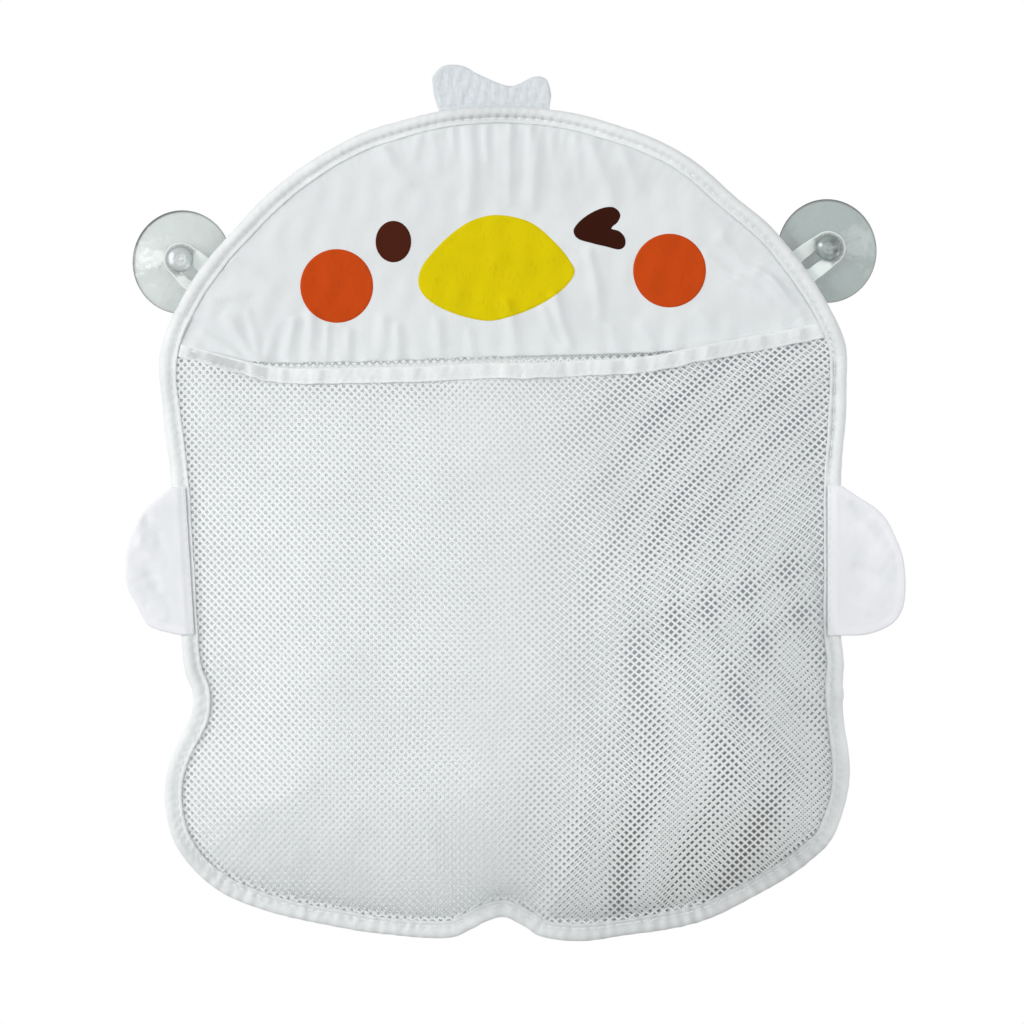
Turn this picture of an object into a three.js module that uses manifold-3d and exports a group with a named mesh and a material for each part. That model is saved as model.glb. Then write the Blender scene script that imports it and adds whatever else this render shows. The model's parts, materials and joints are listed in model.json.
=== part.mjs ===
import * as THREE from 'three';
import { mergeVertices } from 'three/addons/utils/BufferGeometryUtils.js';
import Module from 'manifold-3d';

const wasm = await Module();
wasm.setup();

// A net bag in the shape of a chick that hangs on a tiled wall from two suction cups.
// Millimetres. X runs to the right, Z up and Y into the wall, whose face is the plane y = 0.
// Depths are counted from the wall towards the viewer, so a depth d lies at y = -d.
// The origin lies midway between the two suction cups.

// Bag
const bagHalfWidth = 175;
const bagHeight = 425;
const clothThickness = 0.8;
const seatGap = 0.3;

// Edge tape, folded over the layers and the rod in its fold
const rodRadius = 1.5;
const edgeTapeThickness = 0.9;
const edgeTapeWidth = 8.7;

// Nets: a border band that the tape hides, and threads at 45 degrees
const netThickness = 0.8;
const threadThickness = 0.7;
const threadWidth = 3;
const threadPitch = 30;
const borderShow = 1.5;
const layerEdgeGap = 0.8;

// Front pocket
const mouthTapeThickness = 0.5;
const mouthTapeWidth = 8.2;
const mouthTapePlay = 0.5;
const mouthBow = 20;
const pocketDepth = 48;
const pocketReach = 80;
const pocketMargin = 2.9;

// Wings and crest
const leftWingReach = 25.5;
const rightWingReach = 32.6;
const wingLap = 6.4;
const wingHingeOffset = 2;
const crestWidth = 61;
const crestHeight = 23;
const crestX = -6.4;
const crestThickness = 2.6;
const crestEdgeRound = 0.5;

// Straps
const leftStrapReach = 11.4;
const rightStrapReach = 15.9;
const strapHalfWidth = 9;
const strapThickness = 1.4;
const strapLap = 10;
const strapHingeOffset = 1.5;
const strapEyeEnd = 3;
const eyeClearance = 0.4;

// Suction cups
const cupRadius = 25.5;
const cupRimLand = 2.5;
const cupHollow = 4.4;
const cupDiscDepth = 7.2;
const cupBossRadius = 6.2;
const cupBossHeight = 1.4;
const neckRadius = 3;
const neckLength = 3.4;
const knobRadius = 6.5;
const knobLength = 5.4;

// Face print
const printThickness = 0.3;
const beakWidth = 80.4;
const beakHeight = 54;
const beakX = -4.3;
const beakZ = -7.4;
const eyeWidth = 18.2;
const eyeHeight = 21.2;
const eyeX = -56.5;
const eyeZ = 6;
const winkWidth = 27;
const winkHeight = 22;
const winkX = 48.2;
const winkZ = 12.2;
const cheekWidth = 37.2;
const cheekHeight = 37.6;
const leftCheekX = -85.4;
const leftCheekZ = -16.6;
const rightCheekX = 84.2;
const rightCheekZ = -8.8;

// Counts
const edgeStations = 104;
const mouthStations = 36;
const outlinePoints = 90;
const curveDivisions = 2400;
const roundSegments = 32;
const cupSegments = 26;
const noseSegments = 12;
const foldSegments = 2;
const rodSegments = 4;

// Depths of the layers, from the cups outwards
const bossDepth = cupDiscDepth + cupBossHeight;
const strapDepth = bossDepth + neckLength / 2;
const sewnFrontDepth = strapDepth + strapThickness / 2;
const edgeBackDepth = sewnFrontDepth + seatGap;
const layersHalf = clothThickness / 2 + netThickness + 2 * seatGap;
const channelHalf = Math.max(layersHalf, rodRadius + seatGap);
const foldRadius = channelHalf + edgeTapeThickness;
const foldDepth = edgeBackDepth + foldRadius;
const layerInset = foldRadius + rodRadius + layerEdgeGap;
const layerStep = clothThickness / 2 + seatGap + netThickness / 2;
const backNetDepth = foldDepth - layerStep;
const frontNetDepth = foldDepth + layerStep;
const printBackDepth = foldDepth + clothThickness / 2 + seatGap;
const wingThickness = 2 * clothThickness + seatGap;
const wingDepth = foldDepth + foldRadius + seatGap + wingThickness / 2;
const mouthChannelHalf = netThickness / 2 + mouthTapePlay;
const mouthFoldRadius = mouthChannelHalf + mouthTapeThickness;

// Outline of the bag along the fold of the edge tape, clockwise from the left waist.
// Shares of the half width and of the height, from the point between the cups.
const edgeShares = [
  [-0.927, -0.505], [-0.938, -0.476], [-0.956, -0.359], [-0.973, -0.26], [-0.992, -0.199],
  [-1.005, -0.151], [-1.003, -0.123], [-0.986, -0.095], [-0.96, -0.07], [-0.925, -0.043],
  [-0.858, -0.004], [-0.809, 0.02], [-0.64, 0.088], [-0.459, 0.136], [-0.305, 0.159],
  [-0.173, 0.172], [-0.022, 0.177], [0.138, 0.173], [0.29, 0.159], [0.506, 0.124],
  [0.686, 0.064], [0.794, 0.025], [0.94, -0.058], [0.994, -0.11], [0.998, -0.133],
  [0.994, -0.199], [0.981, -0.272], [0.981, -0.368], [0.981, -0.46], [0.989, -0.488],
  [0.986, -0.521], [0.989, -0.556], [1.004, -0.603], [1.004, -0.637], [0.986, -0.671],
  [0.949, -0.706], [0.89, -0.729], [0.809, -0.752], [0.695, -0.779], [0.558, -0.803],
  [0.389, -0.816], [0.235, -0.824], [0.101, -0.819], [0.063, -0.809], [-0.001, -0.796],
  [-0.045, -0.8], [-0.089, -0.809], [-0.144, -0.819], [-0.223, -0.821], [-0.305, -0.819],
  [-0.64, -0.795], [-0.745, -0.781], [-0.832, -0.764], [-0.899, -0.742], [-0.957, -0.71],
  [-0.981, -0.679], [-0.988, -0.646], [-0.981, -0.619], [-0.957, -0.592], [-0.925, -0.568],
  [-0.908, -0.549], [-0.908, -0.526],
];

// Places along that outline, as shares of its length.
const leftLapShare = 0.1382;
const rightLapShare = 0.4731;
const rightWaistShare = 0.5972;
const leftStrapShare = 0.1579;
const rightStrapShare = 0.4315;
const leftWingTopShare = 0.0717;
const leftWingBottomShare = 0.0152;
const rightWingTopShare = 0.5197;
const rightWingBottomShare = 0.577;

// Upper edge of the mouth tape and lower hem of the face cloth, left to right, in the same shares.
const mouthShares = [
  [-1.02, -0.099], [-0.94, -0.108], [-0.803, -0.124], [-0.637, -0.137], [-0.479, -0.138],
  [-0.194, -0.135], [-0.013, -0.132], [0.22, -0.13], [0.421, -0.123], [0.564, -0.112],
  [0.788, -0.094], [0.93, -0.082], [1.02, -0.075],
];
const hemShares = [
  [-1.1, -0.098], [-0.928, -0.105], [-0.887, -0.118], [-0.727, -0.13], [-0.509, -0.131],
  [-0.013, -0.124], [0.456, -0.118], [0.745, -0.107], [0.832, -0.099], [0.87, -0.085],
  [0.905, -0.074], [1.1, -0.066],
];

// Wings: shares of the reach and of the seam's length, from the top of the seam.
const leftWingShares = [
  [0, 0], [0.28, -0.07], [0.57, -0.15], [0.8, -0.28], [0.95, -0.4], [1, -0.56], [0.99, -0.66],
  [0.86, -0.755], [0.635, -0.915], [0.46, -0.95], [0, -1],
];
const rightWingShares = [
  [0, 0], [0.28, -0.08], [0.53, -0.15], [0.7, -0.225], [0.845, -0.345], [0.955, -0.47], [1, -0.66],
  [0.955, -0.82], [0.83, -0.905], [0.655, -0.955], [0.375, -0.993], [0, -1],
];

// Crest: shares of its width and height, from the middle of its foot on the edge tape.
const crestShares = [
  [-0.452, -0.067], [-0.497, 0.421], [-0.497, 0.732], [-0.418, 0.976], [-0.318, 1.02],
  [-0.234, 0.976], [-0.142, 0.831], [-0.025, 0.676], [0.084, 0.554], [0.151, 0.51], [0.234, 0.563],
  [0.318, 0.687], [0.393, 0.741], [0.46, 0.676], [0.489, 0.51], [0.502, 0.288], [0.493, 0.089],
];
const crestFootShares = [[0.49, -0.25], [-0.44, -0.3]];

// Prints: shares of the half width and half height, from the middle.
const beakShares = [
  [-0.984, -0.245], [-0.946, 0], [-0.82, 0.264], [-0.58, 0.623], [-0.315, 0.887], [-0.013, 1],
  [0.429, 0.868], [0.744, 0.491], [0.933, 0.151], [1, -0.075], [0.87, -0.377], [0.555, -0.698],
  [0.177, -0.925], [-0.101, -1], [-0.517, -0.868], [-0.807, -0.66], [-0.946, -0.453],
];
const winkShares = [
  [-0.962, -0.07], [-0.792, 0.302], [-0.302, 0.767], [0.264, 1.033], [0.604, 1], [0.811, 0.698],
  [0.717, 0.349], [0.472, 0.047], [0.755, -0.07], [0.981, -0.395], [0.981, -0.767], [0.792, -0.93],
  [0.264, -0.795], [-0.302, -0.628], [-0.83, -0.395],
];

// Suction cup: shares of the disc's radius and depth, for its outer cone and its hollow.
const cupConeShares = [[1, 0.11], [0.84, 0.33], [0.62, 0.63], [0.42, 0.86], [0.3, 0.97]];
const cupHollowShares = [[0.36, 0.93], [0.66, 0.6]];
const knobShares = [[0.95, 0], [1, 0.2], [0.9, 0.66], [0.62, 1], [0.36, 1], [0.25, 0.86], [0, 0.84]];

// How the pocket fills out from the mouth to its lower part, and the least part of a net hole kept.
const fullShare = 0.62;
const mouthPowerShare = 1.3;
const fullPowerShare = 0.5;
const smallHoleShare = 0.03;

const colours = {
  cloth: 0xe6e9ea,
  net: 0xf2f4f4,
  tape: 0xf0f2f2,
  felt: 0xdde1e4,
  rod: 0xd8dad8,
  strap: 0xe4ebe9,
  clear: 0xcfdad7,
  orange: 0xcc4a14,
  yellow: 0xe0cc05,
  brown: 0x4a1f12,
};

// Geometry helpers

// A closed geometry as a solid that can be cut and joined.
function toSolid(geometry) {
  const loose = geometry.index ? geometry.toNonIndexed() : geometry;
  const bare = new THREE.BufferGeometry();
  bare.setAttribute('position', loose.getAttribute('position'));
  const merged = mergeVertices(bare);
  const mesh = new wasm.Mesh({
    numProp: 3,
    vertProperties: merged.getAttribute('position').array,
    triVerts: new Uint32Array(merged.index.array),
  });
  return new wasm.Manifold(mesh);
}

function toGeometry(solid) {
  const mesh = solid.getMesh();
  const indexed = new THREE.BufferGeometry();
  indexed.setAttribute('position', new THREE.BufferAttribute(mesh.vertProperties, mesh.numProp));
  indexed.setIndex(new THREE.BufferAttribute(mesh.triVerts, 1));
  const geometry = indexed.toNonIndexed();
  geometry.computeVertexNormals();
  return geometry;
}

function meshOf(name, geometry, colour, roughness, opacity = 1) {
  const material = new THREE.MeshStandardMaterial({
    color: colour,
    roughness,
    metalness: 0,
    opacity,
    transparent: opacity < 1,
  });
  const mesh = new THREE.Mesh(geometry, material);
  mesh.name = name;
  return mesh;
}

// A flat sheet: an outline in X and Z, from its back face outwards by its thickness.
function sheet(outline, backDepth, thickness, edgeRound = 0) {
  const shape = outline instanceof THREE.Shape ? outline : new THREE.Shape(outline);
  const geometry = new THREE.ExtrudeGeometry(shape, {
    depth: thickness - 2 * edgeRound,
    bevelEnabled: edgeRound > 0,
    bevelThickness: edgeRound,
    bevelSize: edgeRound,
    bevelOffset: -edgeRound,
    bevelSegments: 1,
  });
  geometry.rotateX(Math.PI / 2);
  geometry.translate(0, -backDepth - edgeRound, 0);
  return geometry;
}

// A smooth line through places given in shares of the bag's half width and height.
function bagLine(shares, closed) {
  const points = shares.map(([x, z]) => new THREE.Vector3(x * bagHalfWidth, 0, z * bagHeight));
  const line = new THREE.CatmullRomCurve3(points, closed, 'centripetal');
  line.arcLengthDivisions = curveDivisions;
  return line;
}

const edgeLine = bagLine(edgeShares, true);
const mouthLine = bagLine(mouthShares, false);
const hemLine = bagLine(hemShares, false);

function inwardAt(share) {
  const along = edgeLine.getTangentAt(share);
  return new THREE.Vector3(along.z, 0, -along.x);
}

function insetPoint(share, distance) {
  return edgeLine.getPointAt(share).addScaledVector(inwardAt(share), distance);
}

function insetOutline(distance, count = outlinePoints) {
  const outline = [];
  for (let i = 0; i < count; i += 1) {
    const point = insetPoint(i / count, distance);
    outline.push(new THREE.Vector2(point.x, point.z));
  }
  return outline;
}

// The line that the centre of the edge tape's fold follows, and the rod in it.
function makeFoldLine() {
  const points = insetOutline(foldRadius, 2 * edgeStations);
  const places = points.map((p) => new THREE.Vector3(p.x, -foldDepth, p.y));
  const line = new THREE.CatmullRomCurve3(places, true, 'centripetal');
  line.arcLengthDivisions = curveDivisions;
  return line;
}

const foldLine = makeFoldLine();

// A stretch of the fold line between two shares of its length, which may run past its end.
class FoldStretch extends THREE.Curve {
  constructor(from, to) {
    super();
    this.from = from;
    this.to = to;
  }

  getPoint(t) {
    const share = this.from + (this.to - this.from) * t;
    return foldLine.getPointAt(share - Math.floor(share));
  }
}

// Shares are rounded to whole stations, so that tape and rod bend at the same places.
function stationOf(share) {
  return Math.round(share * edgeStations);
}

// A tape folded in two: its fold at the origin, its arms towards +Y, its layers apart along X.
function foldedTape(channel, thickness, width) {
  const outer = channel + thickness;
  const tip = width - outer;
  const section = new THREE.Shape();
  section.moveTo(outer, tip);
  section.lineTo(outer, 0);
  section.absarc(0, 0, outer, 0, -Math.PI, true);
  section.lineTo(-outer, tip);
  section.lineTo(-channel, tip);
  section.lineTo(-channel, 0);
  section.absarc(0, 0, channel, -Math.PI, 0, false);
  section.lineTo(channel, tip);
  return section;
}

function sweep(section, path, steps, curveSegments) {
  return new THREE.ExtrudeGeometry(section, { steps, curveSegments, extrudePath: path });
}

// The outline of a piece through places given in shares of two sizes, as points in X and Z.
function smoothOutline(shares, width, height, count, closed = true) {
  const points = shares.map(([x, z]) => new THREE.Vector3(x * width, z * height, 0));
  const line = new THREE.CatmullRomCurve3(points, closed, 'centripetal');
  const spaced = line.getSpacedPoints(count);
  if (closed) spaced.pop();
  return spaced.map((p) => new THREE.Vector2(p.x, p.y));
}

// Pocket shape

const edgePolyline = insetOutline(0, 3 * outlinePoints);
const mouthPolyline = mouthLine.getSpacedPoints(2 * outlinePoints);
const lobeBottom = Math.min(...edgePolyline.map((p) => p.y));

function edgeDistance(x, z) {
  let nearest = Infinity;
  let a = edgePolyline[edgePolyline.length - 1];
  for (const b of edgePolyline) {
    const along = ((x - a.x) * (b.x - a.x) + (z - a.y) * (b.y - a.y)) / a.distanceToSquared(b);
    const t = Math.min(Math.max(along, 0), 1);
    nearest = Math.min(nearest, Math.hypot(a.x + (b.x - a.x) * t - x, a.y + (b.y - a.y) * t - z));
    a = b;
  }
  return nearest;
}

function mouthHeight(x) {
  const after = mouthPolyline.findIndex((p) => p.x > x);
  if (after < 0) return mouthPolyline[mouthPolyline.length - 1].z;
  if (after === 0) return mouthPolyline[0].z;
  const a = mouthPolyline[after - 1];
  const b = mouthPolyline[after];
  return a.z + ((b.z - a.z) * (x - a.x)) / (b.x - a.x);
}

function ease(t) {
  return Math.sin((Math.PI / 2) * Math.min(Math.max(t, 0), 1)) ** 2;
}

// How far the front net stands out of its flat plane: a bow at the mouth, a full bag lower down,
// and nothing along the edge tape.
function pocketRise(x, z) {
  const top = mouthHeight(x);
  const fill = ease((top - z) / (top - lobeBottom) / fullShare);
  const inside = Math.max(0, edgeDistance(x, z) - edgeTapeWidth - pocketMargin);
  const widest = bagHalfWidth - edgeTapeWidth;
  const reach = widest + (pocketReach - widest) * fill;
  const depth = mouthBow + (pocketDepth - mouthBow) * fill;
  const away = 1 - Math.min(inside / reach, 1);
  return depth * (1 - away ** 2) ** (mouthPowerShare + (fullPowerShare - mouthPowerShare) * fill);
}

function fillOut(geometry) {
  const at = geometry.getAttribute('position');
  for (let i = 0; i < at.count; i += 1) {
    at.setY(i, at.getY(i) - pocketRise(at.getX(i), at.getZ(i)));
  }
  geometry.computeVertexNormals();
  return geometry;
}

// Nets

// The square holes between threads at 45 degrees, each cut off at the window's edge.
function netHoles(window, backDepth, thickness) {
  const opening = toSolid(sheet(window, backDepth, thickness));
  const step = threadPitch * Math.SQRT2;
  const half = (threadPitch - threadWidth) / Math.SQRT2;
  const full = half * half * 2 * thickness;
  const xs = window.map((p) => p.x);
  const zs = window.map((p) => p.y);
  const holes = [];
  const rows = Math.ceil((Math.max(...zs) - Math.min(...zs)) / step) * 2 + 2;
  const columns = Math.ceil((Math.max(...xs) - Math.min(...xs)) / step) + 2;
  for (let row = 0; row <= rows; row += 1) {
    for (let column = 0; column <= columns; column += 1) {
      const x = Math.min(...xs) + (column + (row % 2) / 2) * step;
      const z = Math.min(...zs) + (row / 2) * step;
      const square = [
        new THREE.Vector2(x - half, z),
        new THREE.Vector2(x, z - half),
        new THREE.Vector2(x + half, z),
        new THREE.Vector2(x, z + half),
      ];
      const hole = toSolid(sheet(square, backDepth, thickness)).intersect(opening);
      if (hole.volume() > smallHoleShare * full) holes.push(hole);
    }
  }
  return wasm.Manifold.union(holes);
}

// A net panel: a plain band round its window, and a lattice of slightly thinner threads in it.
function netPanel(outline, window, middleDepth, belowLine) {
  const overrun = netThickness;
  const cutDepth = middleDepth - netThickness / 2 - overrun;
  const cutThickness = netThickness + 2 * overrun;
  let plate = toSolid(sheet(outline, middleDepth - netThickness / 2, netThickness));
  let threads = toSolid(sheet(outline, middleDepth - threadThickness / 2, threadThickness));
  let cut = toSolid(sheet(window, cutDepth, cutThickness));
  let holes = netHoles(window, cutDepth, cutThickness);
  if (belowLine) {
    const panelPart = toSolid(sheet(belowLine(mouthFoldRadius), cutDepth, cutThickness));
    const windowPart = toSolid(sheet(belowLine(mouthTapeWidth + seatGap), cutDepth, cutThickness));
    plate = plate.intersect(panelPart);
    threads = threads.intersect(panelPart);
    cut = cut.intersect(windowPart);
    holes = holes.intersect(windowPart);
  }
  return toGeometry(plate.subtract(cut).add(threads.subtract(holes)));
}

// The region below the mouth's upper edge, lowered by a distance.
function belowMouth(drop) {
  const top = mouthLine.getSpacedPoints(mouthStations).map((p) => new THREE.Vector2(p.x, p.z - drop));
  const left = top[0];
  const right = top[top.length - 1];
  const floor = lobeBottom - edgeTapeWidth;
  return [
    new THREE.Vector2(left.x - edgeTapeWidth, floor),
    new THREE.Vector2(left.x - edgeTapeWidth, left.y),
    ...top,
    new THREE.Vector2(right.x + edgeTapeWidth, right.y),
    new THREE.Vector2(right.x + edgeTapeWidth, floor),
  ];
}

function makeBackNet() {
  const outline = insetOutline(layerInset);
  const window = insetOutline(edgeTapeWidth + borderShow);
  return meshOf('back_net', netPanel(outline, window, backNetDepth), colours.net, 0.8);
}

function makeFrontNet() {
  const outline = insetOutline(layerInset);
  const window = insetOutline(edgeTapeWidth + borderShow);
  const flat = netPanel(outline, window, frontNetDepth, belowMouth);
  return meshOf('front_net', fillOut(flat), colours.net, 0.8);
}

// Tape and rod

function makeEdgeTape(name, fromStation, toStation) {
  const lap = seatGap / 2 / foldLine.getLength();
  const from = fromStation / edgeStations + lap;
  const to = toStation / edgeStations - lap;
  const section = foldedTape(channelHalf, edgeTapeThickness, edgeTapeWidth);
  const geometry = sweep(section, new FoldStretch(from, to), toStation - fromStation, foldSegments);
  return meshOf(name, geometry, colours.tape, 0.75);
}

function makeFrameRod() {
  const section = new THREE.Shape();
  section.absarc(0, 0, rodRadius, 0, 2 * Math.PI, false);
  const steps = stationOf(rightWaistShare);
  const geometry = sweep(section, new FoldStretch(0, steps / edgeStations), steps, rodSegments);
  return meshOf('frame_rod', geometry, colours.rod, 0.4);
}

function makeMouthTape() {
  const drop = mouthFoldRadius;
  const places = mouthLine.getSpacedPoints(mouthStations);
  const lowered = places.map((p) => new THREE.Vector3(p.x, -frontNetDepth, p.z - drop));
  const path = new THREE.CatmullRomCurve3(lowered, false, 'centripetal');
  const section = foldedTape(mouthChannelHalf, mouthTapeThickness, mouthTapeWidth);
  const whole = toSolid(sweep(section, path, mouthStations, foldSegments));
  const between = insetOutline(edgeTapeWidth + seatGap);
  const trim = toSolid(sheet(between, foldDepth - mouthTapeWidth, 2 * mouthTapeWidth));
  return meshOf('mouth_tape', fillOut(toGeometry(whole.intersect(trim))), colours.tape, 0.75);
}

// Face cloth and its prints

function makeFaceCloth() {
  const hem = hemLine.getSpacedPoints(mouthStations).map((p) => new THREE.Vector2(p.x, p.z));
  const top = bagHeight;
  const above = [new THREE.Vector2(hem[0].x, top), ...hem, new THREE.Vector2(hem[hem.length - 1].x, top)];
  const backDepth = foldDepth - clothThickness / 2;
  const outline = insetOutline(layerInset);
  const whole = toSolid(sheet(outline, backDepth, clothThickness));
  const part = toSolid(sheet(above, backDepth - clothThickness, 3 * clothThickness));
  return meshOf('face_cloth', toGeometry(whole.intersect(part)), colours.cloth, 0.85);
}

function placed(outline, x, z) {
  return outline.map((p) => new THREE.Vector2(p.x + x, p.y + z));
}

function ovalOutline(width, height) {
  const oval = new THREE.EllipseCurve(0, 0, width / 2, height / 2);
  const points = oval.getPoints(roundSegments);
  points.pop();
  return points;
}

function makePrint(name, outline, x, z, colour) {
  const geometry = sheet(placed(outline, x, z), printBackDepth, printThickness);
  return meshOf(name, geometry, colour, 0.7);
}

function makePrints() {
  const beak = smoothOutline(beakShares, beakWidth / 2, beakHeight / 2, roundSegments);
  const wink = smoothOutline(winkShares, winkWidth / 2, winkHeight / 2, roundSegments);
  const cheek = ovalOutline(cheekWidth, cheekHeight);
  const eye = ovalOutline(eyeWidth, eyeHeight);
  return [
    makePrint('beak_print', beak, beakX, beakZ, colours.yellow),
    makePrint('wink_print', wink, winkX, winkZ, colours.brown),
    makePrint('eye_print', eye, eyeX, eyeZ, colours.brown),
    makePrint('left_cheek_print', cheek, leftCheekX, leftCheekZ, colours.orange),
    makePrint('right_cheek_print', cheek, rightCheekX, rightCheekZ, colours.orange),
  ];
}

function makeCrest() {
  const foot = edgeLine.getPointAt((leftLapShare + rightLapShare) / 2).z;
  const outline = smoothOutline(crestShares, crestWidth, crestHeight, roundSegments, false);
  const base = crestFootShares.map(([x, z]) => new THREE.Vector2(x * crestWidth, z * crestHeight));
  const points = placed([...outline, ...base], crestX, foot);
  const geometry = sheet(points, sewnFrontDepth - crestThickness, crestThickness, crestEdgeRound);
  return meshOf('crest_felt', geometry, colours.felt, 0.95);
}

// Wings

// The parts of a wing: two layers that swing beside the bag, and the strip sewn onto the edge tape.
function makeWing(side, name, reach, shares, topShare, bottomShare) {
  const top = edgeLine.getPointAt(topShare);
  const bottom = edgeLine.getPointAt(bottomShare);
  const seamLength = top.distanceTo(bottom);
  const up = top.clone().sub(bottom).normalize();
  const nose = wingThickness / 2;
  const hinge = side * wingHingeOffset;
  const lobe = smoothOutline(shares, side * reach, seamLength, roundSegments, false);
  const outline = [
    new THREE.Vector2(-side * wingLap, 0),
    ...lobe,
    new THREE.Vector2(-side * wingLap, -seamLength),
  ];
  const span = 2 * seamLength;
  const outerHalf = new THREE.BoxGeometry(span, span, span);
  outerHalf.translate(hinge + (side * span) / 2, -wingDepth, -seamLength / 2);
  const bar = new THREE.CylinderGeometry(nose, nose, span, noseSegments);
  bar.rotateX(Math.PI / 2);
  bar.translate(hinge, -wingDepth, -seamLength / 2);
  const turning = toSolid(outerHalf).add(toSolid(bar));
  const fixed = new THREE.BoxGeometry(span, span, span);
  fixed.translate(hinge - side * (nose + seatGap + span / 2), -wingDepth, -seamLength / 2);
  const layer = (backDepth, thickness, keep) => {
    return toGeometry(toSolid(sheet(outline, backDepth, thickness)).intersect(keep));
  };
  const back = wingDepth - nose;
  const front = back + clothThickness + seatGap;
  const group = new THREE.Group();
  group.position.copy(top);
  group.rotation.y = Math.atan2(up.x, up.z);
  group.add(
    meshOf(`${name}_wing_front`, layer(front, clothThickness, turning), colours.cloth, 0.85),
    meshOf(`${name}_wing_back`, layer(back, clothThickness, turning), colours.cloth, 0.85),
    meshOf(`${name}_wing_seam`, layer(back, wingThickness, toSolid(fixed)), colours.cloth, 0.85),
  );
  return group;
}

// Straps and suction cups, in a frame on the cup's axis with X towards the bag

function makeStrapLoop(name, hinge) {
  const loop = new THREE.Shape();
  loop.moveTo(hinge, -strapHalfWidth);
  loop.lineTo(hinge, strapHalfWidth);
  loop.lineTo(0, strapHalfWidth);
  loop.absarc(0, 0, strapHalfWidth, Math.PI / 2, (3 * Math.PI) / 2, false);
  const eye = neckRadius + eyeClearance;
  const eyeEnd = Math.max(hinge - strapEyeEnd - eye, 0);
  const slot = new THREE.Path();
  slot.moveTo(0, eye);
  slot.absarc(0, 0, eye, Math.PI / 2, (3 * Math.PI) / 2, false);
  slot.lineTo(eyeEnd, -eye);
  slot.absarc(eyeEnd, 0, eye, -Math.PI / 2, Math.PI / 2, false);
  loop.holes.push(slot);
  const plate = sheet(loop, strapDepth - strapThickness / 2, strapThickness);
  const nose = strapThickness / 2;
  const bar = new THREE.CylinderGeometry(nose, nose, 2 * strapHalfWidth, noseSegments);
  bar.rotateX(Math.PI / 2);
  bar.translate(hinge, -strapDepth, 0);
  return meshOf(name, toGeometry(toSolid(plate).add(toSolid(bar))), colours.strap, 0.35, 0.8);
}

function makeStrapSeam(name, hinge, reach) {
  const start = hinge + strapThickness / 2 + seatGap;
  const length = reach + strapLap - start;
  const geometry = new THREE.BoxGeometry(length, strapThickness, 2 * strapHalfWidth);
  geometry.translate(start + length / 2, -strapDepth, 0);
  return meshOf(name, geometry, colours.strap, 0.35, 0.8);
}

function makeSuctionCup(name) {
  const at = (radius, depth) => new THREE.Vector2(radius, -depth);
  const underside = bossDepth + neckLength;
  const profile = [
    at(0, cupHollow),
    ...cupHollowShares.map(([r, d]) => at(r * cupRadius, d * cupHollow)),
    at(cupRadius - cupRimLand, 0),
    at(cupRadius, 0),
    ...cupConeShares.map(([r, d]) => at(r * cupRadius, d * cupDiscDepth)),
    at(cupBossRadius, cupDiscDepth),
    at(cupBossRadius, bossDepth),
    at(neckRadius, bossDepth),
    at(neckRadius, underside),
    ...knobShares.map(([r, d]) => at(r * knobRadius, underside + d * knobLength)),
  ];
  const geometry = new THREE.LatheGeometry(profile.reverse(), cupSegments);
  return meshOf(name, geometry, colours.clear, 0.12, 0.45);
}

function makeHanger(name, share, reach) {
  const sewn = edgeLine.getPointAt(share);
  const inward = inwardAt(share);
  const hinge = reach - strapHingeOffset;
  const group = new THREE.Group();
  group.position.copy(sewn).addScaledVector(inward, -reach);
  group.rotation.y = Math.atan2(-inward.z, inward.x);
  group.add(
    makeSuctionCup(`${name}_suction_cup`),
    makeStrapLoop(`${name}_strap_loop`, hinge),
    makeStrapSeam(`${name}_strap_seam`, hinge, reach),
  );
  return group;
}

function makeOrganizer() {
  const leftLap = stationOf(leftLapShare);
  const rightLap = stationOf(rightLapShare);
  const left = makeHanger('left', leftStrapShare, leftStrapReach);
  const right = makeHanger('right', rightStrapShare, rightStrapReach);
  const bag = new THREE.Group();
  bag.add(
    makeBackNet(),
    makeFaceCloth(),
    makeFrontNet(),
    makeMouthTape(),
    makeEdgeTape('head_edge_tape', leftLap, rightLap),
    makeEdgeTape('body_edge_tape', rightLap, leftLap + edgeStations),
    makeFrameRod(),
    makeCrest(),
    ...makePrints(),
    makeWing(-1, 'left', leftWingReach, leftWingShares, leftWingTopShare, leftWingBottomShare),
    makeWing(1, 'right', rightWingReach, rightWingShares, rightWingTopShare, rightWingBottomShare),
    left,
    right,
  );
  bag.position.copy(left.position).add(right.position).multiplyScalar(-1 / 2);
  return bag;
}

const organizer = new THREE.Group();
organizer.add(makeOrganizer());

export default organizer;
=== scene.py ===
import json
import math

import bpy
import numpy as np
from bpy.props import FloatProperty, FloatVectorProperty, PointerProperty
from bpy.types import Operator, Panel, PropertyGroup
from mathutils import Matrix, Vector
from mathutils.geometry import delaunay_2d_cdt

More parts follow.
